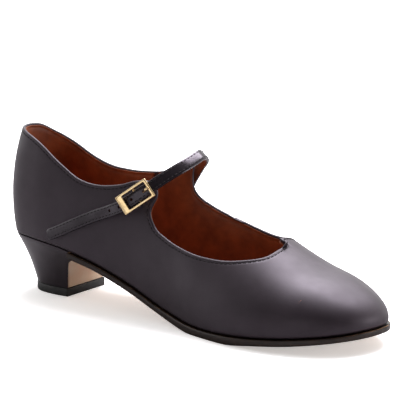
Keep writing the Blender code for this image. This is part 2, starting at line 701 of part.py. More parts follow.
def top_piece():
    """Rubber wear piece under the heel, with blind holes for its pins."""
    outer, inner = heel_section(1.0, 0.0)
    outline = np.concatenate([outer, inner[-2::-1]])
    bm = bmesh.new()
    rows = [[bm.verts.new((x, y, z)) for x, y, _ in outline] for z in (0.0, LIFT)]
    strip_of(bm, [row + row[:1] for row in rows])
    for row in rows:
        bm.faces.new(row)
    piece = place(bm, "top_piece", rubber)
    holes = bmesh.new()
    for x, y in PINS:
        turned(holes, [(PIN_RADIUS + GAP, LIFT + 2.0), (PIN_RADIUS + GAP, PIN_SPAN[0] - GAP)],
               (x, y, 0.0))
    cut(piece, place(holes, "top_piece_holes", rubber))


def heel_fixings():
    """Heel screw, nails driven from inside the shoe, and pins of the top piece."""
    bm = bmesh.new()
    turned(bm, [(SCREW_HEAD[0], 0.0), (SCREW_HEAD[0], -SCREW_HEAD[1]),
                (SCREW[2], -SCREW_HEAD[1]), (SCREW[2], -SCREW[3])],
           (SCREW[0], SCREW[1], board_top(SCREW[0]) - GAP / 2))
    place(bm, "heel_screw", steel)
    for k, (x, y) in enumerate(NAILS, 1):
        bm = bmesh.new()
        turned(bm, [(NAIL_HEAD[0], 0.0), (NAIL_HEAD[0], -NAIL_HEAD[1]),
                    (NAIL_RADIUS, -NAIL_HEAD[1]), (NAIL_RADIUS, -NAIL_LENGTH)],
               (x, y, board_top(x) - GAP / 2), 8)
        place(bm, f"heel_nail_{k}", steel)
    for k, (x, y) in enumerate(PINS, 1):
        bm = bmesh.new()
        turned(bm, [(PIN_RADIUS, PIN_SPAN[1]), (PIN_RADIUS, PIN_SPAN[0])], (x, y, 0.0), 8)
        place(bm, f"top_piece_pin_{k}", steel)


def turned(bm, profile, at, steps=12):
    """Add an upright turned body; profile is (radius, height) from top to bottom."""
    x, y, z = at
    rings = []
    for radius, height in profile:
        turn = [2 * pi * k / steps for k in range(steps)]
        rings.append([bm.verts.new((x + radius * cos(a), y + radius * sin(a), z + height))
                      for a in turn])
    strip_of(bm, [ring + ring[:1] for ring in rings])
    bm.faces.new(rings[0])
    bm.faces.new(rings[-1])


# ------------------------------------------------------------------ strap
def strap_frames():
    """Points along the strap with its width and outward directions."""
    path = curve_through([p for p, _ in STRAP_PATH])
    marks = np.array([p for p, _ in STRAP_PATH], float)
    run = np.insert(np.cumsum(np.linalg.norm(np.diff(marks, axis=0), axis=1)), 0, 0)
    wide = np.array([w for _, w in STRAP_PATH], float)
    s = np.linspace(0, 1, STRAP_STEPS + 1)
    points = path(s)
    across = np.stack([np.interp(s, run / run[-1], wide[:, k]) for k in range(3)], axis=1)
    along = unit(np.gradient(points, axis=0))
    across = unit(across - along * np.sum(across * along, axis=1)[:, None])
    return points, across, np.cross(along, across)


def strap(name, look, levels, strap_pivot):
    """One layer of the strap, with the punched hole that holds the prong."""
    bm = bmesh.new()
    rows = []
    low, high = levels
    half = STRAP_WIDTH / 2
    corners = ((-half, low), (half, low), (half, high), (-half, high))
    for point, across, out in zip(*strap_frames()):
        rows.append([bm.verts.new(point + across * w + out * n) for w, n in corners])
    strip_of(bm, [row + row[:1] for row in rows])
    bm.faces.new(rows[0])
    bm.faces.new(rows[-1])
    layer = place(bm, name, look, strap_pivot)
    punch = bmesh.new()
    turned(punch, [(HOLE_RADIUS, 3.0), (HOLE_RADIUS, -3.0)], (0, 0, 0))
    turn = buckle_axes().to_4x4()
    turn.translation = Vector(BUCKLE_AT) + Vector(BUCKLE_ALONG) * HOLE_AT
    bmesh.ops.transform(punch, matrix=turn, verts=punch.verts)
    cut(layer, place(punch, name + "_punch", look, strap_pivot))


# ------------------------------------------------------------------ buckle
def buckle_axes():
    """Rotation whose columns run along the buckle, across it and outwards."""
    along = Vector(BUCKLE_ALONG).normalized()
    out = Vector(BUCKLE_OUT)
    out = (out - along * out.dot(along)).normalized()
    return Matrix((along, out.cross(along), out)).transposed()


def place_local(bm, name, look, parent):
    """Turn a bmesh laid out in millimetres about its pivot into an object."""
    bmesh.ops.scale(bm, verts=bm.verts, vec=(MM, MM, MM))
    bmesh.ops.recalc_face_normals(bm, faces=bm.faces)
    if bm.calc_volume(signed=True) < 0:
        bmesh.ops.reverse_faces(bm, faces=bm.faces)
    mesh = bpy.data.meshes.new(name)
    bm.to_mesh(mesh)
    bm.free()
    mesh.materials.append(look(name))
    obj = bpy.data.objects.new(name, mesh)
    bpy.context.collection.objects.link(obj)
    obj.parent = parent
    return obj


def box(bm, low, high):
    """Add a box between two corners."""
    middle = (Vector(low) + Vector(high)) / 2
    size = Vector(high) - Vector(low)
    matrix = Matrix.Translation(middle) @ Matrix.Diagonal((*size, 1))
    bmesh.ops.create_cube(bm, size=1, matrix=matrix)


def rod(bm, radius, half_length, steps=12):
    """Add a rod along the bar's axis."""
    turn = Matrix.Rotation(pi / 2, 4, "X")
    bmesh.ops.create_cone(bm, cap_ends=True, segments=steps, radius1=radius, radius2=radius,
                          depth=2 * half_length, matrix=turn)


def ribbon(bm, path, thickness, width):
    """Add a strip of constant thickness along a path in the along-outward plane."""
    line = np.array(path, float)
    run = unit(np.gradient(line, axis=0))
    side = np.stack([-run[:, 1], run[:, 0]], axis=1) * thickness / 2
    rows = []
    for (x, z), (dx, dz) in zip(line, side):
        rows.append([bm.verts.new((x + dx * f, y, z + dz * f))
                     for f, y in ((1, -width / 2), (1, width / 2), (-1, width / 2),
                                  (-1, -width / 2))])
    strip_of(bm, [row + row[:1] for row in rows])
    bm.faces.new(rows[0])
    bm.faces.new(rows[-1])


def arc(start, end, steps, radius=HOOK_RADIUS):
    """Points on a circle about the bar, between two angles in degrees."""
    turn = np.radians(np.linspace(start, end, steps))
    return [(radius * cos(a), radius * sin(a)) for a in turn]


def buckle_frame(buckle_pivot):
    """Rectangular frame with a broad bar at one end and lugs that hold the centre bar."""
    half, wide = FRAME_LONG / 2, FRAME_WIDE / 2
    low, high = FRAME_ABOVE_BAR, FRAME_ABOVE_BAR + FRAME_THICK
    bm = bmesh.new()
    box(bm, (-half, -wide, low), (half, wide, high))
    frame = place_local(bm, "buckle_frame", gold, buckle_pivot)
    bm = bmesh.new()
    inside = wide - FRAME_SIDE_BAR
    box(bm, (-half + FRAME_WIDE_BAR, -inside, low - 1), (half - FRAME_END_BAR, inside, high + 1))
    cut(frame, place_local(bm, "frame_window", gold, buckle_pivot))
    bm = bmesh.new()
    for side in (-1, 1):
        ends = sorted((side * (inside + 0.1), side * (wide - 0.1)))
        box(bm, (-LUG_HALF, ends[0], -LUG_HALF), (LUG_HALF, ends[1], low + 0.6))
    lugs = place_local(bm, "frame_lugs", gold, buckle_pivot)
    lugs.hide_render = True
    lugs.display_type = "WIRE"
    join = frame.modifiers.new("lugs", "BOOLEAN")
    join.operation = "UNION"
    join.object = lugs
    bm = bmesh.new()
    rod(bm, BAR_RADIUS + GAP, wide + 2)
    cut(frame, place_local(bm, "bar_hole", gold, buckle_pivot))
    bm = bmesh.new()
    rod(bm, BAR_RADIUS, wide - 0.1)
    place_local(bm, "buckle_bar", gold, buckle_pivot)


def buckle_prong(prong_pivot):
    """Strip hooked round the bar, passing up through the strap to rest on the end bar."""
    bm = bmesh.new()
    ribbon(bm, arc(30, 268, 13) + PRONG_PATH, PRONG_THICK, PRONG_WIDE)
    place_local(bm, "buckle_prong", gold, prong_pivot)


def buckle_chape(chape_pivot):
    """Leather strip folded round the bar and sewn to the outer ear."""
    ply = CHAPE_THICK / 2 + 0.1
    bm = bmesh.new()
    reach = np.linspace(-CHAPE_TONGUE, -2.0, 5)
    over = [(x, ply + CHAPE_SLOPE * (x + 1.3)) for x in reach]
    under = [(x, -ply + CHAPE_SLOPE * (x + 1.3)) for x in reach[::-1]]
    ribbon(bm, over + arc(150, -150, 15) + under, CHAPE_THICK, CHAPE_WIDE)
    chape = place_local(bm, "buckle_chape", black_leather, chape_pivot)
    bm = bmesh.new()
    slot = PRONG_WIDE / 2 + GAP
    box(bm, (-2.6, -slot, -3.0), (4.0, slot, 3.0))
    cut(chape, place_local(bm, "chape_slot", black_leather, chape_pivot))


def buckle():
    """Buckle parts about the centre bar; the chape stays with the shoe."""
    bar = Vector(BUCKLE_AT) - buckle_axes().col[2] * BAR_BELOW_STRAP
    shoe_side = pivot("chape_place", tuple(bar))
    shoe_side.rotation_euler = buckle_axes().to_euler()
    turning = pivot("buckle_pivot", tuple(bar))
    turning.rotation_euler = buckle_axes().to_euler()
    tongue = bpy.data.objects.new("prong_pivot", None)
    tongue.empty_display_size = 0.01
    bpy.context.collection.objects.link(tongue)
    tongue.parent = turning
    buckle_frame(turning)
    buckle_prong(tongue)
    buckle_chape(shoe_side)


def build():
    """Make every piece of the shoe."""
    leather_pieces()
    lining_pieces()
    stiffeners()
    topline_edging()
    outsole()
    insole_board()
    sock_and_pad()
    bottom_filler()
    shank_steel()
    heel_block()
    heel_cover()
    heel_breast_cover()
    top_piece()
    heel_fixings()
    strap_pivot = pivot("strap_pivot", STRAP_PATH[STRAP_HINGE][0])
    strap("strap_leather", black_leather, STRAP_OUTER, strap_pivot)
    strap("strap_lining", brown_leather, STRAP_INNER, strap_pivot)
    buckle()


for old in list(bpy.data.objects):
    bpy.data.objects.remove(old)
build()
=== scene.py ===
# %% [markdown]
# # A one-strap dance shoe, built in cells
# A court shoe is a stack of thin layers drawn over a wooden foot called a last: black leather
# outside, brown lining inside, and a sole and a heel fixed underneath. Everything here is laid
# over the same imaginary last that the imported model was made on, so each fine piece lands
# where its plain counterpart was. The first cell loads that model as a fixed frame.

from math import pi

import bmesh
import bpy
import numpy as np
from mathutils import Matrix, Vector


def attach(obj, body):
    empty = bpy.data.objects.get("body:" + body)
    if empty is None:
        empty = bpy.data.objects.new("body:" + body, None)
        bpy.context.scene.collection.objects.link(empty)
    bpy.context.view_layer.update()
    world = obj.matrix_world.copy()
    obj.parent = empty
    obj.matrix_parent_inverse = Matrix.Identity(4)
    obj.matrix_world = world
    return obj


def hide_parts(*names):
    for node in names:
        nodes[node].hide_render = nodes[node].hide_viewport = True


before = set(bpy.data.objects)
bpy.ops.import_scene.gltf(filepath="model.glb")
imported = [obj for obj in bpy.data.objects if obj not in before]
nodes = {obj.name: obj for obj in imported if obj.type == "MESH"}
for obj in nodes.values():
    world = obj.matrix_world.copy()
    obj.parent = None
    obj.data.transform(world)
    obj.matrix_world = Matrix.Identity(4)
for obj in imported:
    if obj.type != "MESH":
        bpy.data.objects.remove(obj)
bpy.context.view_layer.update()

# %% [markdown]
# The shoe is laid out in millimetres from the back of the heel (x = 0) to the toe (x = 249).
# The outer side faces -Y. Two small functions do all the drawing: one reads a smooth curve
# through a few heights, the other walks evenly along a smooth line in the plane.

# %% Curves through a few points
MM = 0.001
CENTRE = np.array((125.99, -1.22, 0.0))


def spline(knots, at):
    """Smooth curve through (x, value) knots, read at one or many x."""
    xs, ys = np.array(knots, float).T
    at = np.asarray(at, float)
    slope = np.gradient(ys, xs)
    i = np.clip(np.searchsorted(xs, at) - 1, 0, len(xs) - 2)
    step = xs[i + 1] - xs[i]
    t = np.clip((at - xs[i]) / step, 0, 1)
    rise = (2 * t**3 - 3 * t**2 + 1) * ys[i] + (3 * t**2 - 2 * t**3) * ys[i + 1]
    return rise + (t**3 - 2 * t**2 + t) * step * slope[i] + (t**3 - t**2) * step * slope[i + 1]


def curve_through(points, round_ends=False):
    """Function giving a point at 0..1 of the length of a smooth curve through points."""
    pts = np.array(points, float)
    length = np.insert(np.cumsum(np.linalg.norm(np.diff(pts, axis=0), axis=1)), 0, 0)
    length /= length[-1]
    slope = np.gradient(pts, length, axis=0)
    if round_ends:
        slope[0, 0] = slope[-1, 0] = 0.0

    def at(s):
        s = np.asarray(s, float)
        i = np.clip(np.searchsorted(length, s) - 1, 0, len(length) - 2)
        step = (length[i + 1] - length[i])[..., None]
        t = np.clip((s - length[i])[..., None] / step, 0, 1)
        rise = (2 * t**3 - 3 * t**2 + 1) * pts[i] + (3 * t**2 - 2 * t**3) * pts[i + 1]
        bend = (t**3 - 2 * t**2 + t) * step * slope[i] + (t**3 - t**2) * step * slope[i + 1]
        return rise + bend
    return at


def unit(vectors):
    """Vectors scaled to length one."""
    return vectors / np.maximum(np.linalg.norm(vectors, axis=-1, keepdims=True), 1e-9)


def ease(x):
    """0 below 0, 1 above 1, smooth between."""
    x = np.clip(x, 0, 1)
    return x * x * (3 - 2 * x)


# %% [markdown]
# ## The last
# A last is drawn with two plan outlines, one for each side of the foot, and with the heights
# of its bottom edge and of its ridge. Between edge and ridge each cross-section is a
# superellipse, which is rounder than a box and squarer than a circle, as a foot is.

# %% The last's driving sizes
OUTER_EDGE = [(4, 0), (7.5, -12), (16, -21.5), (32, -26.5), (55, -27), (80, -25.5), (105, -25.5),
              (130, -29), (155, -35.5), (178, -39), (200, -37.8), (220, -32.2), (237, -21.8),
              (247.3, -6.5), (249.2, 5)]
INNER_EDGE = [(4, 0), (7.5, 12), (16, 21), (32, 25.5), (55, 25), (80, 22), (105, 21), (130, 25),
              (152, 31.5), (172, 36), (192, 36.5), (212, 34), (228, 29), (240.5, 21),
              (247.5, 12.5), (249.2, 5)]
FEATHER = [(0, 33), (25, 33.8), (50, 31.6), (75, 25.8), (100, 17.6), (125, 9.0), (150, 4.6),
           (175, 4.6), (200, 6.3), (225, 9.0), (250, 12.3)]
OUTER_ROOF = [(0, 124), (40, 119), (80, 107), (110, 91), (140, 73), (165, 59), (185, 49.4),
              (205, 39.8), (225, 34.3), (250, 27.2)]
INNER_ROOF = [(0, 124), (40, 119), (80, 113), (110, 107), (140, 84), (165, 61.5), (185, 49.4),
              (205, 39.8), (225, 34.3), (250, 27.2)]
ROUNDNESS = [(0, 2.1), (60, 2.2), (120, 2.3), (180, 2.1), (215, 2.45), (250, 2.85)]
BULGE = [(0, 0.2), (30, 0.06), (80, 0.05), (150, 0.05), (215, 0.035), (250, 0.02)]
SPINE = [(0, 0), (60, 0), (120, 3), (170, 4), (210, 5), (250, 6)]
SPINE_ENDS = (30.0, 214.0)
OUTLINE = {-1: curve_through(OUTER_EDGE, True), 1: curve_through(INNER_EDGE, True)}
ROOF = {-1: OUTER_ROOF, 1: INNER_ROOF}


def soft_clamp(x, low, high, softness=8.0):
    """x held between low and high, with rounded ends."""
    x = low + softness * np.logaddexp(0, (x - low) / softness)
    return high - softness * np.logaddexp(0, (high - x) / softness)


def on_last(side, place, angle):
    """Point on the last: place 0 heel to 1 toe, angle 0 at the bottom edge to 90 on the ridge."""
    foot = OUTLINE[side](place)
    mid_x = soft_clamp(foot[..., 0], *SPINE_ENDS)
    mid_y = spline(SPINE, mid_x)
    power = 2 / spline(ROUNDNESS, foot[..., 0])
    reach = np.maximum(np.cos(np.radians(angle)), 0) ** power
    lift = np.sin(np.radians(angle)) ** power
    full = 4 * spline(BULGE, foot[..., 0]) * lift * (1 - lift) * (1 - 0.4 * lift)
    reach = reach * (1 + full)
    x = mid_x + (foot[..., 0] - mid_x) * reach
    y = mid_y + (foot[..., 1] - mid_y) * reach
    base = spline(FEATHER, foot[..., 0])
    return np.stack([x, y, base + (spline(ROOF[side], x) - base) * lift], axis=-1)


def edge_y(side, x, inset):
    """Y of the plan outline, moved inwards by inset, at stations x."""
    line = OUTLINE[side](np.linspace(0, 1, 400))
    if isinstance(inset, list):
        inset = spline(inset, line[:, 0])[:, None]
    run = np.gradient(line, axis=0)
    line = line + unit(np.stack([-run[:, 1], run[:, 0]], axis=1)) * -side * inset
    order = np.argsort(line[:, 0])
    return np.interp(x, line[order, 0], line[order, 1])


print("ball of the foot is", round(float(edge_y(1, 180, 0) - edge_y(-1, 180, 0)), 1), "mm wide")

# %% [markdown]
# ## The topline
# The topline is the edge round the opening. It dips along the quarters, climbs to an ear on
# each side where the strap is held, and drops to the throat of the vamp. Each knot gives a
# place round the foot, an angle up the side, and the place on the bottom edge from which the
# grid line starts that ends there.

# %% Topline knots and grid lines
OUTER_TOPLINE = [(0, 42, 0), (0.08, 42.3, 0.085), (0.16, 38, 0.165), (0.215, 32.5, 0.215),
                 (0.268, 29.3, 0.262), (0.312, 31, 0.30), (0.358, 37, 0.335),
                 (0.40, 46.5, 0.362), (0.425, 51, 0.378), (0.443, 50.5, 0.392),
                 (0.4485, 45.5, 0.406), (0.442, 40, 0.418), (0.4405, 35, 0.43),
                 (0.455, 31, 0.447), (0.49, 30.5, 0.482), (0.535, 33, 0.53),
                 (0.592, 38.7, 0.595), (0.655, 48.7, 0.66), (0.70, 63.5, 0.712),
                 (0.709, 90, 0.76)]
INNER_TOPLINE = [(0, 42, 0), (0.032, 41, 0.035), (0.075, 36.5, 0.075), (0.118, 32, 0.118),
                 (0.168, 27, 0.165), (0.218, 25.3, 0.212), (0.268, 26.5, 0.255),
                 (0.33, 30, 0.312), (0.375, 33.5, 0.35), (0.42, 40.5, 0.383),
                 (0.442, 47, 0.397), (0.4525, 47.8, 0.405), (0.4545, 44.5, 0.411),
                 (0.4505, 40, 0.418), (0.4475, 35.5, 0.426), (0.449, 32, 0.435),
                 (0.459, 30.2, 0.452), (0.485, 30, 0.482), (0.535, 32.5, 0.531),
                 (0.592, 37.5, 0.592), (0.655, 47.5, 0.655), (0.70, 63, 0.71),
                 (0.709, 90, 0.76)]
TOPLINE = {-1: curve_through([(u, a / 250, low) for u, a, low in OUTER_TOPLINE]),
           1: curve_through([(u, a / 250, low) for u, a, low in INNER_TOPLINE])}
TOPLINE_COLUMNS = 120
VAMP_COLUMNS = 60
TOE_COLUMN = TOPLINE_COLUMNS + VAMP_COLUMNS
LEAN = 2.2


def side_columns(side, rows):
    """Grid lines from the bottom edge up to the topline or the ridge, for one side."""
    t = np.linspace(0, 1, 1500)
    place, angle, _ = (TOPLINE[side](t) * (1, 250, 1)).T
    length = np.linalg.norm(np.diff(on_last(side, place, angle), axis=0), axis=1)
    weight = np.insert(np.cumsum(length * (1 + np.exp(-(np.cumsum(length) / 30) ** 2))), 0, 0)
    spaced = np.interp(np.linspace(0, weight[-1], TOPLINE_COLUMNS + 1), weight, t)
    top = TOPLINE[side](spaced) * (1, 250, 1)
    vamp = np.linspace(0, 1, VAMP_COLUMNS + 1)[1:]
    foot_vamp = top[-1, 2] + (1 - top[-1, 2]) * vamp
    high_vamp = foot_vamp - (top[-1, 2] - top[-1, 0]) * (1 - vamp) ** 1.6
    foot = np.concatenate([top[:, 2], foot_vamp])
    high = np.concatenate([top[:, 0], high_vamp])
    angle = np.concatenate([top[:, 1], np.full(VAMP_COLUMNS, 90.0)])
    lean = foot[:, None] + (high - foot)[:, None] * rows ** LEAN
    return on_last(side, lean, angle[:, None] * rows), foot


# %% [markdown]
# A fine grid needs close rows only where something happens: at the folded topline, along its
# stitching, and where the leather turns under the foot. So every grid line is measured, and
# rows are put at chosen distances from its top and from its bottom.

# %% The fine grid round the shoe
TOP_ROWS = [0, 0.15, 0.35, 0.6, 0.9, 1.3, 1.7, 2.0, 2.3, 2.7, 3.3, 4.3, 6.0]
BOTTOM_ROWS = [3.2, 2.2, 1.5, 1.0, 0.6, 0.3, 0.1, 0]
MIDDLE_ROWS = 26


def measured(line):
    """One grid line with rows at the chosen distances, from the top down."""
    line = line[::-1]
    run = np.insert(np.cumsum(np.linalg.norm(np.diff(line, axis=0), axis=1)), 0, 0)
    middle = np.linspace(TOP_ROWS[-1], run[-1] - BOTTOM_ROWS[0], MIDDLE_ROWS + 2)[1:-1]
    at = np.concatenate([TOP_ROWS, middle, run[-1] - np.array(BOTTOM_ROWS)])
    return np.stack([np.interp(at, run, line[:, k]) for k in range(3)], axis=1), at, run[-1] - at


def wall_grid():
    """Points once round the shoe with their distances from the top and from the bottom."""
    dense = np.linspace(0, 1, 260)
    outer, outer_place = side_columns(-1, dense)
    inner, inner_place = side_columns(1, dense)
    lines = np.concatenate([outer, inner[-2::-1]])
    parts = [measured(line) for line in lines]
    points, down, up = (np.stack(p) for p in zip(*parts))
    points[-1] = points[0]
    rear = len(points) - 1 - TOPLINE_COLUMNS
    points[TOPLINE_COLUMNS:TOE_COLUMN + 1, 0] = points[rear:TOE_COLUMN - 1:-1, 0]
    return points, down, up, outer_place, inner_place


WALL, FROM_TOP, FROM_BOTTOM, OUTER_PLACE, INNER_PLACE = wall_grid()
LAST_COLUMN = len(WALL) - 1
INNER_THROAT = LAST_COLUMN - TOPLINE_COLUMNS


def outward_directions(points):
    """Unit vectors pointing out of the shoe at each grid point."""
    round_shoe = np.empty_like(points)
    round_shoe[1:-1] = points[2:] - points[:-2]
    round_shoe[0] = round_shoe[-1] = points[1] - points[-2]
    out = unit(np.cross(np.gradient(points, axis=1), unit(round_shoe)))
    ridge = np.arange(TOPLINE_COLUMNS, TOE_COLUMN)
    both = unit(out[ridge, 0] + out[LAST_COLUMN - ridge, 0])
    out[ridge, 0] = both
    out[LAST_COLUMN - ridge, 0] = both
    out[TOE_COLUMN, 0] = unit(out[TOE_COLUMN - 1, 0] + out[TOE_COLUMN + 1, 0])
    return out


OUTWARD = outward_directions(WALL)
if np.mean(OUTWARD[40, :, 1]) > 0:
    OUTWARD = -OUTWARD
print("grid of", WALL.shape[0], "by", WALL.shape[1], "points")

# %% Distance of each point from the topline
EDGE_COLUMNS = np.concatenate([np.arange(TOPLINE_COLUMNS + 1),
                               np.arange(INNER_THROAT + 1, LAST_COLUMN)])
EDGE_LINE = WALL[EDGE_COLUMNS, 0]


def distance_to_line(points, line, reach=16.0):
    """Shortest distance from each point to a closed line of points."""
    found = np.full(points.shape[:2], reach)
    ends = np.roll(line, -1, axis=0)
    span = ends - line
    for k in range(points.shape[1]):
        rel = points[:, k, None] - line[None]
        share = np.clip(np.sum(rel * span, axis=2) / np.sum(span * span, axis=1), 0, 1)
        gap = np.linalg.norm(rel - share[..., None] * span, axis=2)
        found[:, k] = np.minimum(found[:, k], gap.min(axis=1))
    return found


FROM_EDGE = distance_to_line(WALL, EDGE_LINE)
edge_steps = np.linalg.norm(np.roll(EDGE_LINE, -1, axis=0) - EDGE_LINE, axis=1)
print("topline is", round(float(edge_steps.sum())), "mm long")

# %% [markdown]
# ## Finishes
# Every finish starts from the Principled shader. Leather needs three more things: pores, which
# are a fine cell pattern pressed into the surface, a slow change of colour from the dye, and a
# slow change of gloss from handling. All three are read from the object's own coordinates, so
# the pattern stays on the piece whichever way the shoe is turned.

# %% Helpers for procedural finishes
def finish(name, colour, roughness, metallic=0.0, specular=0.5):
    """A named material with its Principled shader set."""
    made = bpy.data.materials.new(name)
    made.use_nodes = True
    shader = made.node_tree.nodes["Principled BSDF"]
    shader.inputs["Base Color"].default_value = (*colour, 1)
    shader.inputs["Roughness"].default_value = roughness
    shader.inputs["Metallic"].default_value = metallic
    shader.inputs["Specular IOR Level"].default_value = specular
    return made


def node(made, kind, **values):
    """A new node with its properties and sockets set by name."""
    new = made.node_tree.nodes.new(kind)
    for key, value in values.items():
        socket = key.replace("_", " ")
        if socket in new.inputs:
            new.inputs[socket].default_value = value
        else:
            setattr(new, key, value)
    return new


def wire(made, out, into):
    """Join an output to an input."""
    made.node_tree.links.new(out, into)


def pattern(made, kind, size_mm, stretch=(1, 1, 1), **values):
    """A noise or cell pattern of a real size, read from the object's coordinates."""
    place = node(made, "ShaderNodeTexCoord")
    turn = node(made, "ShaderNodeMapping", Scale=stretch)
    made_pattern = node(made, kind, Scale=1 / (size_mm * MM), **values)
    wire(made, place.outputs["Object"], turn.inputs["Vector"])
    wire(made, turn.outputs["Vector"], made_pattern.inputs["Vector"])
    return made_pattern


def mottle(made, second, size_mm, low=0.35, high=0.65, stretch=(1, 1, 1)):
    """Mix a second colour into the base in soft patches."""
    shader = made.node_tree.nodes["Principled BSDF"]
    first = tuple(shader.inputs["Base Color"].default_value)
    cloud = pattern(made, "ShaderNodeTexNoise", size_mm, stretch, Detail=4.0, Roughness=0.6)
    ramp = node(made, "ShaderNodeMapRange", From_Min=low, From_Max=high)
    mix = node(made, "ShaderNodeMix", data_type="RGBA")
    mix.inputs[6].default_value = first
    mix.inputs[7].default_value = (*second, 1)
    wire(made, cloud.outputs["Fac"], ramp.inputs["Value"])
    wire(made, ramp.outputs["Result"], mix.inputs["Factor"])
    wire(made, mix.outputs[2], shader.inputs["Base Color"])


def uneven_gloss(made, low, high, size_mm, stretch=(1, 1, 1)):
    """Let the roughness drift between two values."""
    shader = made.node_tree.nodes["Principled BSDF"]
    cloud = pattern(made, "ShaderNodeTexNoise", size_mm, stretch, Detail=3.0)
    ramp = node(made, "ShaderNodeMapRange", From_Min=0.3, From_Max=0.7, To_Min=low, To_Max=high)
    wire(made, cloud.outputs["Fac"], ramp.inputs["Value"])
    wire(made, ramp.outputs["Result"], shader.inputs["Roughness"])


def relief(made, layers):
    """Stack bumps; each layer is (height socket, strength, depth in mm)."""
    shader = made.node_tree.nodes["Principled BSDF"]
    below = None
    for height, strength, depth_mm in layers:
        bump = node(made, "ShaderNodeBump", Strength=strength, Distance=depth_mm * MM)
        wire(made, height, bump.inputs["Height"])
        if below is not None:
            wire(made, below, bump.inputs["Normal"])
        below = bump.outputs["Normal"]
    wire(made, below, shader.inputs["Normal"])


# %% Leathers
def leather(name, colour, second, gloss, pore_mm, depth_mm, specular=0.5, wrinkle=0.25,
            sheen=(1, 1, 1)):
    """Grain leather: pores, soft wrinkles, dye patches and uneven gloss; sheen tints the gloss."""
    made = finish(name, colour, gloss, specular=specular)
    made.node_tree.nodes["Principled BSDF"].inputs["Specular Tint"].default_value = (*sheen, 1)
    mottle(made, second, 14)
    uneven_gloss(made, gloss - 0.03, gloss + 0.05, 9)
    pores = pattern(made, "ShaderNodeTexVoronoi", pore_mm)
    creases = pattern(made, "ShaderNodeTexNoise", pore_mm * 5, Detail=6.0, Roughness=0.65)
    relief(made, [(pores.outputs["Distance"], 0.35, depth_mm),
                  (creases.outputs["Fac"], wrinkle, depth_mm * 2)])
    return made


DYE_SHEEN = (1.0, 0.88, 1.0)
UPPER_LEATHER = leather("black_upper_leather", (0.0150, 0.0095, 0.0125), (0.0210, 0.0140, 0.0180),
                        0.46, 0.55, 0.03, sheen=DYE_SHEEN)
STRAP_LEATHER = leather("black_strap_leather", (0.008, 0.006, 0.008), (0.013, 0.010, 0.012),
                        0.18, 0.5, 0.025, sheen=DYE_SHEEN)
HEEL_LEATHER = leather("black_heel_leather", (0.016, 0.011, 0.013), (0.023, 0.016, 0.019),
                       0.31, 0.55, 0.03, sheen=DYE_SHEEN)
LINING_LEATHER = leather("brown_lining_leather", (0.265, 0.064, 0.017), (0.150, 0.032, 0.008),
                         0.50, 0.6, 0.035, 0.35)
SOCK_LEATHER = leather("sock_leather", (0.320, 0.072, 0.022), (0.230, 0.046, 0.014),
                       0.48, 0.6, 0.03, 0.35)
SOLE_LEATHER = leather("tan_sole_leather", (0.62, 0.37, 0.20), (0.50, 0.27, 0.13),
                       0.55, 0.9, 0.05, 0.35)
# The breast is the same tan leather as the sole, but coloured much paler than the sole: painted
# light, standing in for the lamps' light on the front of the heel.
BREAST_LEATHER_PAINTED_LIGHT = leather("tan_breast_leather", (0.96, 0.74, 0.55), (0.90, 0.62, 0.43),
                         0.55, 0.8, 0.04, 0.35)
print("leathers:", [m.name for m in bpy.data.materials if m.name.endswith("leather")])

# %% [markdown]
# The other finishes: the sole's painted edge, rubber, thread, fibre board, cotton, cork, foam,
# plain steel and the buckle's pale gold plating. Metals get their look from what they
# reflect, so they only need fine scratches and a slightly uneven polish.

# %% Other finishes
def sole_edge_paint():
    """Dark burnished paint on the edge of the sole."""
    made = finish("sole_edge_paint", (0.012, 0.007, 0.005), 0.36, specular=0.35)
    mottle(made, (0.030, 0.015, 0.009), 5, stretch=(1, 1, 4))
    layers = pattern(made, "ShaderNodeTexNoise", 0.8, (0.2, 0.2, 3.0), Detail=3.0)
    relief(made, [(layers.outputs["Fac"], 0.35, 0.08)])
    return made


def rubber():
    """Gritty black rubber."""
    made = finish("heel_rubber", (0.018, 0.017, 0.017), 0.62)
    mottle(made, (0.030, 0.028, 0.027), 6)
    grit = pattern(made, "ShaderNodeTexNoise", 0.35, Detail=5.0)
    relief(made, [(grit.outputs["Fac"], 0.5, 0.06)])
    return made


def thread(name, colour, second):
    """Twisted thread, paler where the plies turn."""
    made = finish(name, colour, 0.7, specular=0.25)
    mottle(made, second, 1.2)
    plies = pattern(made, "ShaderNodeTexWave", 0.5, Distortion=1.0)
    relief(made, [(plies.outputs["Fac"], 0.6, 0.05)])
    return made


def fibrous(name, colour, second, size_mm, roughness=0.85):
    """Board, cloth, cork or foam: two colours and a fuzzy surface."""
    made = finish(name, colour, roughness)
    mottle(made, second, size_mm)
    fuzz = pattern(made, "ShaderNodeTexNoise", size_mm / 3, Detail=8.0)
    relief(made, [(fuzz.outputs["Fac"], 0.6, 0.15)])
    return made


def metal(name, colour, second, roughness, scratch_mm=0.25):
    """Polished metal with fine scratches."""
    made = finish(name, colour, roughness, 1.0)
    mottle(made, second, 3)
    uneven_gloss(made, roughness - 0.05, roughness + 0.07, 1.5)
    scratches = pattern(made, "ShaderNodeTexNoise", scratch_mm, (0.15, 1, 1), Detail=4.0)
    relief(made, [(scratches.outputs["Fac"], 0.12, 0.02)])
    return made


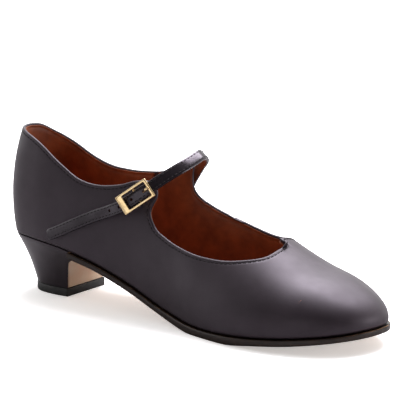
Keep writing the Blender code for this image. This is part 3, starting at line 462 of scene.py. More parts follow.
SOLE_EDGE = sole_edge_paint()
RUBBER = rubber()
BLACK_THREAD = thread("black_thread", (0.008, 0.006, 0.007), (0.020, 0.014, 0.016))
FIBRE_BOARD = fibrous("stiffener_board", (0.50, 0.38, 0.25), (0.40, 0.29, 0.18), 2.0)
COTTON = fibrous("interlining", (0.62, 0.58, 0.50), (0.54, 0.50, 0.42), 1.0)
CORK = fibrous("cork_filler", (0.46, 0.30, 0.16), (0.28, 0.17, 0.09), 1.6)
FOAM = fibrous("heel_pad_foam", (0.86, 0.80, 0.55), (0.78, 0.71, 0.45), 1.2)
HEEL_CORE = fibrous("heel_core", (0.35, 0.34, 0.33), (0.30, 0.29, 0.28), 5.0, 0.55)
STEEL = metal("fixing_steel", (0.55, 0.56, 0.58), (0.45, 0.46, 0.48), 0.35)
GOLD = metal("buckle_gold", (0.86, 0.66, 0.38), (0.78, 0.56, 0.29), 0.17)

# %% [markdown]
# ## Laying leather over the last
# Each layer is a flat grid, made by Blender and then laid point by point on the grid of the
# last, some way below its surface. A Solidify modifier gives it its thickness, inwards, so
# the outside stays exactly where it was laid.

# %% Laying a grid and finishing a piece
def lay_grid(bm, points):
    """A grid from Blender with each vertex moved to its own place; points in shoe millimetres."""
    columns, rows = points.shape[:2]
    made = bmesh.ops.create_grid(bm, x_segments=columns - 1, y_segments=rows - 1, size=1)
    spots = (points - CENTRE) * MM
    for vert in made["verts"]:
        i = round((vert.co.x + 1) / 2 * (columns - 1))
        j = round((vert.co.y + 1) / 2 * (rows - 1))
        vert.co = spots[i, j]
    return made["verts"]


def piece(bm, name, looks, body, smooth_angle=50):
    """Turn a bmesh into a finished object that rides on a body."""
    mesh = bpy.data.meshes.new(name)
    bm.to_mesh(mesh)
    bm.free()
    for look in looks if isinstance(looks, list) else [looks]:
        mesh.materials.append(look)
    mesh.shade_smooth()
    mesh.set_sharp_from_angle(angle=smooth_angle * pi / 180)
    obj = bpy.data.objects.new(name, mesh)
    bpy.context.collection.objects.link(obj)
    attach(obj, body)
    return obj


def outward_faces(bm, middle):
    """Turn all faces so that, on the whole, they point away from a middle point."""
    lean = sum((f.calc_center_median() - middle).dot(f.normal) * f.calc_area() for f in bm.faces)
    if lean < 0:
        bmesh.ops.reverse_faces(bm, faces=bm.faces)


def face_along(bm, axis):
    """Turn an open sheet's faces so that, on the whole, they look along an axis."""
    bmesh.ops.recalc_face_normals(bm, faces=bm.faces)
    if sum(f.normal[axis] for f in bm.faces) < 0:
        bmesh.ops.reverse_faces(bm, faces=bm.faces)


def edges_of(verts):
    """Every edge that touches some vertices, once each."""
    return list({edge for vert in verts for edge in vert.link_edges})


def round_edges(bm, edges, radius, segments):
    """Bevel edges to a round; the radius is in the bmesh's own units."""
    bmesh.ops.bevel(bm, geom=edges, offset=radius, segments=segments, affect="EDGES",
                    profile=0.5, material=-1)


def thicken(obj, millimetres):
    """Solidify inwards with an even wall."""
    wall = obj.modifiers.new("thickness", "SOLIDIFY")
    wall.thickness = millimetres * MM
    wall.offset = -1.0
    wall.use_even_offset = True
    wall.thickness_clamp = 1.0


# %% [markdown]
# ## The black leather
# On a good shoe the topline isn't a raw edge: the leather is folded over and stitched. The
# fold is round in cross-section, and the stitching pulls a shallow groove below it. At the
# bottom the leather turns in under the foot, which leaves the dark line above the sole.

# %% Cross-section of the upper
FOLD_RADIUS = 0.85
LEAF_ROWS = [0, 0.15, 0.35, 0.6, 0.9, 1.4, 2.2, 3.2]
STITCH_BELOW_EDGE = 2.1
TUCK_RADIUS = 1.7
MARGIN_STEPS = [1.2, 4.0, 9.0]


def quarter_round(distance, radius):
    """How far a round edge has turned in at a distance from its crown."""
    left = np.clip(radius - distance, 0, radius)
    return radius - np.sqrt(radius ** 2 - left ** 2)


def leather_depth(columns):
    """Depth of the outer surface: fold at the topline, stitch groove, tuck at the bottom."""
    edge = FROM_EDGE[columns]
    groove = 0.16 * np.exp(-((edge - STITCH_BELOW_EDGE) / 0.45) ** 2)
    puff = -0.10 * np.exp(-((edge - 1.1) / 0.5) ** 2)
    return (quarter_round(edge, FOLD_RADIUS) + groove + puff
            + quarter_round(FROM_BOTTOM[columns], TUCK_RADIUS))


def margin_rows(columns, skin):
    """Rows turned in under the foot below the last row of a skin."""
    foot = skin[:, -1]
    run = np.gradient(foot[:, :2], axis=0)
    inward = unit(np.stack([-run[:, 1], run[:, 0]], axis=1))
    rows = []
    for step in MARGIN_STEPS:
        row = foot.copy()
        row[:, :2] += inward * step
        row[:, 2] = spline(FEATHER, row[:, 0]) + 0.1
        rows.append(row)
    return np.concatenate([skin, np.stack(rows, axis=1)], axis=1)


def fold_leaf(columns, extra):
    """Inner leaf of the folded topline, from the crown down the inside."""
    at = FROM_TOP[columns]
    wanted = np.array(LEAF_ROWS)
    base = np.stack([[np.interp(wanted, at[k], WALL[c, :, n]) for n in range(3)]
                     for k, c in enumerate(columns)]).transpose(0, 2, 1)
    out = OUTWARD[columns][:, :1]
    edge = distance_to_line(base, EDGE_LINE)
    left = np.clip(FOLD_RADIUS - edge, 0, FOLD_RADIUS)
    lapped = extra[:, :len(wanted)] * (1 - ease(edge / 1.0))
    depth = FOLD_RADIUS + np.sqrt(FOLD_RADIUS ** 2 - left ** 2) + lapped
    return base - out * depth[..., None]


def seam_columns(side, place):
    """Ring column standing nearest to a place round the foot."""
    if side < 0:
        return int(np.argmin(np.abs(OUTER_PLACE - place)))
    return LAST_COLUMN - int(np.argmin(np.abs(INNER_PLACE - place)))


def black_skin(name, columns, extra, replaced):
    """One piece of the black upper over a run of ring columns."""
    columns = np.array(columns)
    depth = leather_depth(columns) + extra
    skin = WALL[columns] - OUTWARD[columns] * depth[..., None]
    skin = margin_rows(columns, skin)
    bm = bmesh.new()
    lay_grid(bm, skin)
    for run in np.split(columns, np.where(np.diff(columns) != 1)[0] + 1):
        for part in (run[run <= TOPLINE_COLUMNS], run[run >= INNER_THROAT]):
            if len(part) > 1:
                lay_grid(bm, fold_leaf(part, extra[np.isin(columns, part)]))
    bmesh.ops.remove_doubles(bm, verts=bm.verts, dist=0.00002)
    bmesh.ops.recalc_face_normals(bm, faces=bm.faces)
    outward_faces(bm, Vector((0.0, 0.0, 0.035)))
    obj = piece(bm, name, UPPER_LEATHER, "shoe")
    thicken(obj, 0.55)
    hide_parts(*replaced)
    return obj


# %% The outer side and vamp, and the inner quarter lapped under it
SEAM = seam_columns(1, 0.535)
LAP_WIDTH = 6.0
LAP_DEPTH = 0.75


def from_column(columns, reference):
    """Distance of each point from a chosen grid line, along the shoe."""
    return np.linalg.norm(WALL[columns] - WALL[reference], axis=2)


def back_seam(columns):
    """The two edges pulled in along the seam at the back of the heel."""
    return 0.35 * np.exp(-(from_column(columns, 0) / 0.7) ** 2)


outer_run = np.arange(0, SEAM + 1)
inner_run = np.arange(SEAM - 3, LAST_COLUMN + 1)
lap = LAP_DEPTH * (1 - ease(from_column(inner_run, SEAM) / LAP_WIDTH))
lap[:4] = LAP_DEPTH
outer_side = black_skin("outer_side_and_vamp", outer_run, back_seam(outer_run),
                        ["outer_side_leather"])
inner_quarter = black_skin("inner_quarter", inner_run, back_seam(inner_run) + lap,
                           ["inner_quarter_leather", "topline_edging"])
print("outer piece", len(outer_side.data.polygons), "faces")
print("inner quarter", len(inner_quarter.data.polygons), "faces")

# %% [markdown]
# ## The brown lining
# The lining follows the black leather a little way inside it. At the topline the layers are
# pared thin, so it starts close under the fold and falls back to its full depth lower down.
# It is cut in two, a vamp lining and a quarter lining, lapped at the waist on both sides.

# %% Lining
LINING_TOP = 1.0
LINING_PARED, LINING_FULL = 1.75, 2.75
LINING_THICK = 0.8
LINING_SEAMS = (seam_columns(-1, 0.33), seam_columns(1, 0.33))


def lining_skin(name, columns, extra, replaced):
    """One piece of lining over a run of ring columns, outer face down to the bottom edge."""
    edge = FROM_EDGE[columns]
    depth = LINING_PARED + (LINING_FULL - LINING_PARED) * ease((edge - 1) / 10) + extra
    depth = depth + quarter_round(FROM_BOTTOM[columns], TUCK_RADIUS)
    skin = WALL[columns] - OUTWARD[columns] * depth[..., None]
    near = np.argmin(np.abs(FROM_TOP[0] - LINING_TOP))
    bm = bmesh.new()
    vamp = (columns > TOPLINE_COLUMNS) & (columns < INNER_THROAT)
    skin[vamp, near] = skin[vamp, 0]
    lay_grid(bm, skin[:, near:])
    bmesh.ops.remove_doubles(bm, verts=bm.verts, dist=0.00002)
    bmesh.ops.recalc_face_normals(bm, faces=bm.faces)
    outward_faces(bm, Vector((0.0, 0.0, 0.035)))
    obj = piece(bm, name, LINING_LEATHER, "shoe")
    thicken(obj, LINING_THICK)
    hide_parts(replaced)
    return obj


vamp_run = np.arange(LINING_SEAMS[0] - 2, LINING_SEAMS[1] + 3)
quarter_run = np.concatenate([np.arange(LINING_SEAMS[1], LAST_COLUMN),
                              np.arange(0, LINING_SEAMS[0] + 1)])


def under_quarter(columns):
    """The vamp lining sinks behind the quarter lining where the two are lapped."""
    rise = np.minimum(from_column(columns, LINING_SEAMS[0]), from_column(columns, LINING_SEAMS[1]))
    return -0.75 * (1 - ease(rise / 7))


vamp_lining = lining_skin("vamp_lining_leather", vamp_run, under_quarter(vamp_run), "vamp_lining")
quarter_lining = lining_skin("quarter_lining_leather", quarter_run, 0, "quarter_lining")
print("lining pieces:", vamp_lining.name, quarter_lining.name)

# %% [markdown]
# ## Stitching
# A seam is hundreds of short stitches, so one stitch is kept to a few faces: a small rounded
# box, sunk a little at both ends. Each line of stitching is a path with its outward direction;
# walking the path at the stitch length drops one copy at each step.

# %% Stitches along a path
STITCH_LENGTH = 1.9
STITCH_GAP = 0.75
THREAD = 0.26


def stitch_line(bm, path, out, closed=False):
    """Drop stitches along a path of points with outward directions; returns how many."""
    path, out = np.asarray(path, float), np.asarray(out, float)
    if closed:
        path = np.concatenate([path, path[:1]])
        out = np.concatenate([out, out[:1]])
    run = np.insert(np.cumsum(np.linalg.norm(np.diff(path, axis=0), axis=1)), 0, 0)
    count = int(run[-1] // (STITCH_LENGTH + STITCH_GAP))
    starts = np.linspace(0, run[-1], count, endpoint=False)
    for start in starts:
        marks = np.array([start, start + STITCH_LENGTH])
        a, b = np.stack([np.interp(marks, run, path[:, k]) for k in range(3)], axis=1)
        middle = start + STITCH_LENGTH / 2
        normal = unit(np.array([np.interp(middle, run, out[:, k]) for k in range(3)]))
        along = unit(b - a)
        across = unit(np.cross(normal, along))
        turn = Matrix([[*row] for row in np.stack([along, across, normal], axis=1)]).to_4x4()
        turn.translation = Vector(((a + b) / 2 - CENTRE) * MM)
        made = bmesh.ops.create_cube(bm, size=1, matrix=turn @ Matrix.Diagonal(
            (np.linalg.norm(b - a) * MM, 2 * THREAD * MM, 2 * THREAD * MM, 1)))
        round_edges(bm, edges_of(made["verts"]), THREAD * 0.6 * MM, 1)
    return count


def stitching(name, lines, look, body):
    """Several lines of stitches as one piece; each line is (path, outward, closed)."""
    bm = bmesh.new()
    total = sum(stitch_line(bm, *line) for line in lines)
    obj = piece(bm, name, look, body)
    print(name, total, "stitches")
    return obj


# %% Rows along the topline and the inner seam
def below_topline(distance, sunk):
    """Path on the upper a given distance below the topline."""
    along = unit(np.roll(EDGE_LINE, -1, axis=0) - np.roll(EDGE_LINE, 1, axis=0))
    out = OUTWARD[EDGE_COLUMNS, 6]
    down = unit(np.cross(along, out))
    if np.mean(down[:, 2]) > 0:
        down = -down
    smooth = down
    for _ in range(6):
        smooth = unit(np.roll(smooth, 1, axis=0) + smooth * 2 + np.roll(smooth, -1, axis=0))
    return EDGE_LINE + smooth * distance - out * sunk, out


def beside_seam(column, shift, side_of_seam, sunk):
    """Path parallel to a seam, shifted round the shoe by millimetres."""
    path, out = [], []
    for row in range(9, WALL.shape[1] - 5):
        ring = WALL[:, row]
        run = np.insert(np.cumsum(np.linalg.norm(np.diff(ring, axis=0), axis=1)), 0, 0)
        at = run[column] + shift * side_of_seam
        path.append([np.interp(at, run, ring[:, k]) for k in range(3)])
        out.append([np.interp(at, run, OUTWARD[:, row, k]) for k in range(3)])
    return np.array(path) - np.array(out) * sunk, np.array(out)


top_path, top_out = below_topline(STITCH_BELOW_EDGE, 0.10)
stitching("topline_stitches", [(top_path, top_out, True)], BLACK_THREAD, "shoe")
stitching("inner_seam_stitches", [beside_seam(SEAM, 1.6, -1, -0.02) + (False,),
                                  beside_seam(SEAM, 3.6, -1, -0.02) + (False,)],
          BLACK_THREAD, "shoe")

# %% [markdown]
# ## Under the foot
# The sock lining is the leather the foot stands on. It lies on a board, with a foam pad under
# the heel, and its edge turns up slightly where it meets the lining.

# %% Sock lining
DECK_ABOVE_FEATHER = 6.7
SOCK_LIFT = [(0, 2.9), (40, 2.9), (56, 1.9), (70, 0.9), (80, 0.3), (100, 0.0), (250, 0.0)]
DECK_SPAN = (8.6, 240.4)
SOCK_INSET = [(0, 4.3), (130, 4.3), (170, 4.4), (215, 5.0), (235, 6.0), (250, 7.4)]


def stations(start, end, count):
    """Stations along the foot, closer together at the round ends."""
    return start + (end - start) * (1 - np.cos(np.linspace(0, pi, count))) / 2


def sheet_over(x, inset, height, across=25):
    """Points of a sheet between the two sides of the foot."""
    left, right = edge_y(-1, x, inset), edge_y(1, x, inset)
    share = (1 - np.cos(np.linspace(0, pi, across))) / 2
    y = left[:, None] + (right - left)[:, None] * share
    return np.stack([np.broadcast_to(x[:, None], y.shape), y, height(x[:, None], share)], axis=2)


def sock_height(x, share):
    """Top of the sock lining: slightly hollow under the heel, turned up at its edges."""
    dish = -0.5 * np.exp(-((x - 34) / 22) ** 2) * np.sin(pi * share) ** 2
    curl = 0.7 * (1 - np.sin(pi * share)) ** 6
    level = spline(FEATHER, x) + DECK_ABOVE_FEATHER + spline(SOCK_LIFT, x) + 0.8
    return level + dish + curl


bm = bmesh.new()
sock_points = sheet_over(stations(*DECK_SPAN, 90), SOCK_INSET, sock_height)
lay_grid(bm, sock_points)
face_along(bm, 2)
sock = piece(bm, "sock_lining_leather", SOCK_LEATHER, "shoe")
thicken(sock, 0.8)
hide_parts("sock_lining")
print("sock lining is", [round(d * 1000, 1) for d in sock.dimensions], "mm")

# %% [markdown]
# ## The sole
# The outsole is one thick piece of tan leather. It is as wide as the foot plus a narrow ledge,
# follows the last upwards at the waist, and its edge is painted dark and burnished. It is made
# as a flat sheet, pushed up to its thickness, and rounded along both rims with a bevel.

# %% Outsole
BREAST = 58.0
BREAST_GAP = 0.4
SOLE_PROUD = 1.3
SOLE_RIM = 0.55
TOE_GAP = 0.12
SEAT_GAP = 0.3
TREAD = [(50, 28.2), (75, 22.3), (100, 14.0), (120, 6.9), (136, 2.3), (150, 0.0), (165, 0.0),
         (178, 0.0), (195, 2.0), (215, 4.2), (235, 6.9), (250, 9.0)]


def tread_height(x):
    """Height of the underside of the sole."""
    return np.maximum(spline(TREAD, x), 0)


def painted_rim(bm):
    """Give every face but those that tread the floor the second material."""
    for face in bm.faces:
        face.material_index = int(face.normal.z > -0.8)


def outsole():
    """The sole, from the front of the heel to the toe."""
    x = stations(BREAST + BREAST_GAP, OUTER_EDGE[-1][0] + SOLE_PROUD - TOE_GAP, 80)
    under = sheet_over(x, -SOLE_PROUD, lambda s, _: tread_height(s) + 0 * _, 21)
    bm = bmesh.new()
    lay_grid(bm, under)
    raised = bmesh.ops.extrude_face_region(bm, geom=list(bm.faces))["geom"]
    for vert in (g for g in raised if isinstance(g, bmesh.types.BMVert)):
        station = vert.co.x / MM + CENTRE[0]
        vert.co.z = (float(spline(FEATHER, station)) - SEAT_GAP) * MM
    bmesh.ops.remove_doubles(bm, verts=bm.verts, dist=0.00005)
    bmesh.ops.recalc_face_normals(bm, faces=bm.faces)
    sharp = [e for e in bm.edges if e.is_manifold and e.calc_face_angle() > 0.9
             and max(abs(f.normal.z) for f in e.link_faces) > 0.8]
    round_edges(bm, sharp, SOLE_RIM * MM, 3)
    painted_rim(bm)
    obj = piece(bm, "leather_outsole", [SOLE_LEATHER, SOLE_EDGE], "shoe", 40)
    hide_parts("outsole")
    return obj


sole = outsole()
print("outsole is", [round(d * 1000, 1) for d in sole.dimensions], "mm")

# %% [markdown]
# ## The heel
# The heel narrows towards the floor and its sides are slightly hollow. Black leather is drawn
# round it from one corner of its front face, the breast, to the other. The breast itself is
# tan: it is the end of the sole leather, turned down in a round bend and glued to the heel.

# %% Heel shapes
HEEL_BACK = 17.5
HEEL_FRONT = 48.7
HEEL_HALF = 16.6
HEEL_BOTTOM = [(1.0, 1.0), (0.62, 1.03), (0.34, 0.94), (0.13, 0.68), (0.02, 0.27), (0.0, 0.0)]
LIFT = 4.8
HEEL_COLUMNS = 40
HEEL_ROWS = 22
SOLE_SLOPE = 0.236


ARCH = 7.5
ARCH_CLEAR = 0.25
ARCH_DROPS = [-0.05, 0.0, 0.08, 0.3, 0.7, 1.2, 1.8, 2.6, 3.6, 5.0, 7.5]


def arch_sweep(x, z):
    """How far the front of the heel sweeps forward where it meets the underside of the sole."""
    below = float(tread_height(x)) - ARCH_CLEAR - z
    return quarter_round(below, ARCH) if below >= 0 else 0.0


def heel_section(t, inset, setback=0.0):
    """Outer and inner half of the heel's outline, front to back; t 0 seat, 1 top piece."""
    back = 4.3 + inset
    front = BREAST - setback
    x_top = front - (front - back) * np.sin(np.linspace(0, pi / 2, HEEL_COLUMNS))
    part = curve_through(HEEL_BOTTOM)(np.linspace(0, 1, HEEL_COLUMNS))
    low_back = HEEL_BACK + inset
    x_low = low_back + part[:, 0] * (HEEL_FRONT - setback - low_back)
    z_top = spline(FEATHER, x_top) - SEAT_GAP
    taper = t + 0.1 * np.sin(pi * t)
    halves = []
    for side in (-1, 1):
        y_top = edge_y(side, x_top, SEAT_GAP + inset)
        y_top[-1] = 0.0
        y = y_top * (1 - taper) + side * part[:, 1] * (HEEL_HALF - inset) * taper
        x = x_top * (1 - taper) + x_low * taper
        z = z_top * (1 - t) + (LIFT + SEAT_GAP) * t
        forward = arch_sweep(x[0], z[0]) * (1 - np.linspace(0, 1, HEEL_COLUMNS)) ** 4
        halves.append(np.stack([x + forward, y, z - SOLE_SLOPE * forward], axis=1))
    return halves


def heel_rows():
    """Rows down the heel, close together where its front sweeps under the sole."""
    height = float(spline(FEATHER, BREAST)) - 2 * SEAT_GAP - LIFT
    drop = float(spline(FEATHER, BREAST) - tread_height(BREAST))
    meets = (drop - SEAT_GAP + ARCH_CLEAR) / height
    close = meets + np.array(ARCH_DROPS) / height
    return np.concatenate([[0, meets / 2], close, np.linspace(close[-1], 1, HEEL_ROWS)[1:]])


def heel_cover():
    """Leather round the heel, from one corner of its breast to the other."""
    rows = []
    for t in heel_rows():
        outer, inner = heel_section(t, 0.0)
        rows.append(np.concatenate([outer, inner[-2::-1]]))
    points = np.stack(rows, axis=1)
    bm = bmesh.new()
    lay_grid(bm, points)
    bmesh.ops.recalc_face_normals(bm, faces=bm.faces)
    outward_faces(bm, Vector(((35 - CENTRE[0]) * MM, 0, 0.018)))
    obj = piece(bm, "heel_cover_leather", HEEL_LEATHER, "shoe")
    thicken(obj, 0.8)
    bevel = obj.modifiers.new("soft_rims", "BEVEL")
    bevel.width = 0.25 * MM
    bevel.segments = 2
    bevel.limit_method = "ANGLE"
    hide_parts("heel_cover")
    return obj


FLAP_INSET = 0.9
FLAP_BACK = 0.3


def breast_flap():
    """The tan end of the sole, bent down over the front of the heel, just inside the cover."""
    rows = []
    for t in heel_rows()[3:]:
        outer, inner = heel_section(t, FLAP_INSET)
        rows.append(np.linspace(outer[0], inner[0], 21))
    face = np.stack(rows, axis=1)
    face[..., 0] -= FLAP_BACK
    bm = bmesh.new()
    lay_grid(bm, face)
    face_along(bm, 0)
    # Its finish is tan sole leather made paler: painted light on the front of the heel.
    obj = piece(bm, "breast_flap_leather", BREAST_LEATHER_PAINTED_LIGHT, "shoe")
    thicken(obj, 1.0)
    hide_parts("heel_breast_cover")
    return obj


def top_piece():
    """The rubber that stands on the floor."""
    outer, inner = heel_section(1.0, -0.15, -0.2)
    outline = np.concatenate([outer, inner[-2::-1]])
    bm = bmesh.new()
    ring = [bm.verts.new((Vector(p) - Vector(CENTRE)) * MM) for p in outline * (1, 1, 0)]
    base = bm.faces.new(ring)
    wall = bmesh.ops.extrude_face_region(bm, geom=[base])["geom"]
    top = [g for g in wall if isinstance(g, bmesh.types.BMVert)]
    bmesh.ops.translate(bm, verts=top, vec=(0, 0, LIFT * MM))
    bmesh.ops.recalc_face_normals(bm, faces=bm.faces)
    rims = [e for e in bm.edges if e.is_manifold and e.calc_face_angle() > 0.9]
    round_edges(bm, rims, 0.4 * MM, 2)
    obj = piece(bm, "rubber_top_piece", RUBBER, "shoe")
    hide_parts("top_piece")
    return obj


cover, flap, lift = heel_cover(), breast_flap(), top_piece()
print("heel pieces:", cover.name, flap.name, lift.name)

# %% [markdown]
# ## The strap
# The strap is a narrow band of two leathers, shiny side out, stitched along both edges. It is
# sewn to the inner ear, arches over the foot, runs through the buckle and ends in a cut tail
# on the outer quarter. Its centre line is a list of points, each with the direction of its
# width, because a strap twists as it wraps round the shoe.

# %% Strap path
STRAP_PATH = [((106.5, 23.3, 67.5), (0.83, 0.0, -0.55)),
              ((110.5, 22.2, 73.0), (0.82, 0.0, -0.57)),
              ((115.3, 20.9, 79.0), (0.80, 0.0, -0.60)),
              ((120.6, 18.4, 84.6), (0.79, 0.0, -0.61)),
              ((124.2, 12.0, 88.0), (0.78, 0.0, -0.62)),
              ((124.8, 0.0, 85.9), (0.76, 0.0, -0.65)),
              ((120.2, -14.6, 80.0), (0.70, 0.0, -0.71)),
              ((114.3, -22.3, 74.2), (0.62, 0.04, -0.78)),
              ((108.0, -26.8, 68.9), (0.60, 0.10, -0.79)),
              ((100.6, -29.9, 63.4), (0.53, 0.0, -0.85)),
              ((89.8, -28.2, 58.5), (0.47, -0.12, -0.87)),
              ((77.7, -27.7, 53.6), (0.44, -0.18, -0.88)),
              ((63.7, -28.9, 47.0), (0.44, -0.19, -0.88)),
              ((54.5, -29.3, 42.5), (0.45, -0.19, -0.87)),
              ((46.0, -29.3, 38.6), (0.47, -0.19, -0.86))]
STRAP_WIDTH = 6.6
STRAP_HINGE = 2
STRAP_STEPS = 260


def strap_frames():
    """Points along the strap, with its width and outward directions and its length so far."""
    path = curve_through([p for p, _ in STRAP_PATH])
    marks = np.array([p for p, _ in STRAP_PATH], float)
    run = np.insert(np.cumsum(np.linalg.norm(np.diff(marks, axis=0), axis=1)), 0, 0)
    wide = np.array([w for _, w in STRAP_PATH], float)
    s = np.linspace(0, 1, STRAP_STEPS + 1)
    points = path(s)
    across = np.stack([np.interp(s, run / run[-1], wide[:, k]) for k in range(3)], axis=1)
    along = unit(np.gradient(points, axis=0))
    across = unit(across - along * np.sum(across * along, axis=1)[:, None])
    travelled = np.insert(np.cumsum(np.linalg.norm(np.diff(points, axis=0), axis=1)), 0, 0)
    return points, across, np.cross(along, across), travelled, run[STRAP_HINGE] / run[-1]


STRAP, STRAP_ACROSS, STRAP_OUT, STRAP_RUN, hinge_share = strap_frames()
HINGE_STEP = int(round(hinge_share * STRAP_STEPS))
print("strap is", round(float(STRAP_RUN[-1])), "mm long")

# %% [markdown]
# Both leathers are swept: a rounded cross-section is repeated at each step of the path. The
# outer one is slightly domed, because it is stitched down at its edges. Where the strap narrows
# to the tail's tip its corners are taken off.

# %% Sweeping a cross-section
def swept(bm, centres, across, out, section, scale):
    """A closed band: section is a loop of (across, outward) offsets."""
    section = np.array(section)
    rings = (centres[:, None] + across[:, None] * (section[None, :, :1] * scale[:, None, None])
             + out[:, None] * section[None, :, 1:])
    rings = np.concatenate([rings, rings[:, :1]], axis=1)
    made = lay_grid(bm, rings)
    bmesh.ops.remove_doubles(bm, verts=made, dist=0.000005)
    bmesh.ops.holes_fill(bm, edges=[e for e in bm.edges if e.is_boundary])
    bmesh.ops.recalc_face_normals(bm, faces=bm.faces)


def rounded_band(width, low, high, dome=0.0, corner=0.3):
    """Cross-section of a leather band with round corners and a domed upper face."""
    half = width / 2
    turn = np.radians(np.linspace(0, 90, 5))
    right = [(half - corner + corner * np.cos(a), high - corner + corner * np.sin(a)) for a in turn]
    crown = [(w, high + dome * (1 - (w / half) ** 4))
             for w in np.linspace(half - 2 * corner, -half + 2 * corner, 7)]
    left = [(-x, z) for x, z in right[::-1]]
    small = corner * 0.5
    return right + crown + left + [(-half, low + small), (-half + small, low),
                                   (half - small, low), (half, low + small)]


def strap_layer(name, look, steps, low, high, dome, body, replaced):
    """One leather of the strap between two steps of the path; the faces along its sides get the
    black strap leather.
    """
    tip = np.clip((STRAP_RUN[-1] - STRAP_RUN) / 2.2, 0, 1)
    size = 1 - 0.22 * (1 - np.sqrt(1 - (1 - tip) ** 2))
    bm = bmesh.new()
    swept(bm, STRAP[steps], STRAP_ACROSS[steps], STRAP_OUT[steps],
          rounded_band(STRAP_WIDTH, low, high, dome), size[steps])
    # Faces turned to the strap's sides take the black strap leather, so both layers show black
    # along the edges.
    for face in bm.faces:
        here = np.array(face.calc_center_median()) / MM + CENTRE
        out = STRAP_OUT[int(np.argmin(np.linalg.norm(STRAP - here, axis=1)))]
        face.material_index = int(abs(np.dot(face.normal, out)) < 0.8)
    obj = piece(bm, name, [look, STRAP_LEATHER], body)
    if replaced:
        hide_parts(replaced)
    return obj


free = slice(HINGE_STEP, None)
sewn = slice(0, HINGE_STEP + 1)
strap_top = strap_layer("strap_outer_leather", STRAP_LEATHER, free, 0.05, 0.85, 0.2,
                        "strap", "strap_leather")
strap_back = strap_layer("strap_backing_leather", LINING_LEATHER, free, -0.80, 0.0, 0.0,
                         "strap", "strap_lining")
strap_layer("strap_root_outer", STRAP_LEATHER, sewn, 0.05, 0.85, 0.2, "shoe", None)
strap_layer("strap_root_backing", LINING_LEATHER, sewn, -0.80, 0.0, 0.0, "shoe", None)

# %% Punched holes for the buckle's prong
HOLE_PITCH = 8.5
HOLE_RADIUS = 0.85
BUCKLE_AT = np.array((108.0, -26.8, 68.9))


def nearest_step(place):
    """Step of the strap nearest to a place."""
    return int(np.argmin(np.linalg.norm(STRAP - place, axis=1)))


def punch(objects, runs):
    """Cut round holes through the strap at given lengths along it."""
    bm = bmesh.new()
    for at in runs:
        k = int(np.argmin(np.abs(STRAP_RUN - at)))
        axis = Vector(STRAP_OUT[k])
        turn = axis.to_track_quat("Z", "X").to_matrix().to_4x4()
        turn.translation = Vector((STRAP[k] - CENTRE) * MM)
        bmesh.ops.create_cone(bm, cap_ends=True, segments=20, radius1=HOLE_RADIUS * MM,
                              radius2=HOLE_RADIUS * MM, depth=5 * MM, matrix=turn)
    mesh = bpy.data.meshes.new("punch")
    bm.to_mesh(mesh)
    bm.free()
    tool = bpy.data.objects.new("punch", mesh)
    bpy.context.collection.objects.link(tool)
    for obj in objects:
        cut = obj.modifiers.new("holes", "BOOLEAN")
        cut.object = tool
        cut.solver = "EXACT"
        bpy.context.view_layer.update()
        seen = obj.evaluated_get(bpy.context.evaluated_depsgraph_get())
        done = bpy.data.meshes.new_from_object(seen)
        obj.modifiers.remove(cut)
        obj.data = done
    bpy.data.objects.remove(tool)


prong_hole = STRAP_RUN[nearest_step(BUCKLE_AT)] - 5.4
hole_runs = [prong_hole + HOLE_PITCH * k for k in range(4)]
punch([strap_top, strap_back], hole_runs)
print("holes at", [round(float(h)) for h in hole_runs], "mm along the strap")

# %% Stitching on the strap
STITCH_INSET = 1.15
STITCH_HEIGHT = 0.92


def strap_edge(steps, side):
    """Path of one row of stitches, beside an edge of the strap."""
    aside = STRAP_ACROSS[steps] * (STRAP_WIDTH / 2 - STITCH_INSET) * side
    return STRAP[steps] + aside + STRAP_OUT[steps] * STITCH_HEIGHT, STRAP_OUT[steps], False


clear_of_tip = slice(HINGE_STEP, STRAP_STEPS - 2)
stitching("strap_stitches", [strap_edge(clear_of_tip, side) for side in (-1, 1)],
          BLACK_THREAD, "strap")
stitching("strap_root_stitches", [strap_edge(slice(1, HINGE_STEP), side) for side in (-1, 1)],
          BLACK_THREAD, "shoe")

# %% [markdown]
# ## The buckle
# The frame is a flat rectangle, broad at the end where the strap's tail comes out and stepped
# at the other, where the prong rests. A hidden bar under its middle is held by two lugs, and
# the prong is a thin wire hooked round that bar and brought up through the strap.

# %% Buckle frame
ALONG = unit(np.array((0.687, 0.445, 0.572)))
OUT = np.array((0.413, -0.893, 0.198))
OUT = unit(OUT - ALONG * np.dot(OUT, ALONG))
ACROSS = np.cross(OUT, ALONG)
BAR_AT = BUCKLE_AT - OUT * 3.1
BUCKLE_TURN = Matrix([[*row] for row in np.stack([ALONG, ACROSS, OUT], axis=1)]).to_4x4()
BUCKLE_TURN.translation = Vector((BAR_AT - CENTRE) * MM)
FRAME_LONG, FRAME_WIDE = 20.0, 11.2
WIDE_BAR, END_BAR, SIDE_BAR = 3.6, 1.7, 1.25
FRAME_LOW, FRAME_THICK = 4.5, 1.6


def settle(bm):
    """Bring a piece modelled about the centre bar, in millimetres, to its place on the shoe."""
    bmesh.ops.scale(bm, verts=bm.verts, vec=(MM, MM, MM))
    bmesh.ops.transform(bm, matrix=BUCKLE_TURN, verts=bm.verts)


def block(bm, low, high):
    """A box between two corners; returns its vertices."""
    middle = (Vector(low) + Vector(high)) / 2
    size = Vector(high) - Vector(low)
    made = bmesh.ops.create_cube(bm, size=1, matrix=Matrix.Translation(middle)
                                 @ Matrix.Diagonal((*size, 1)))
    return made["verts"]


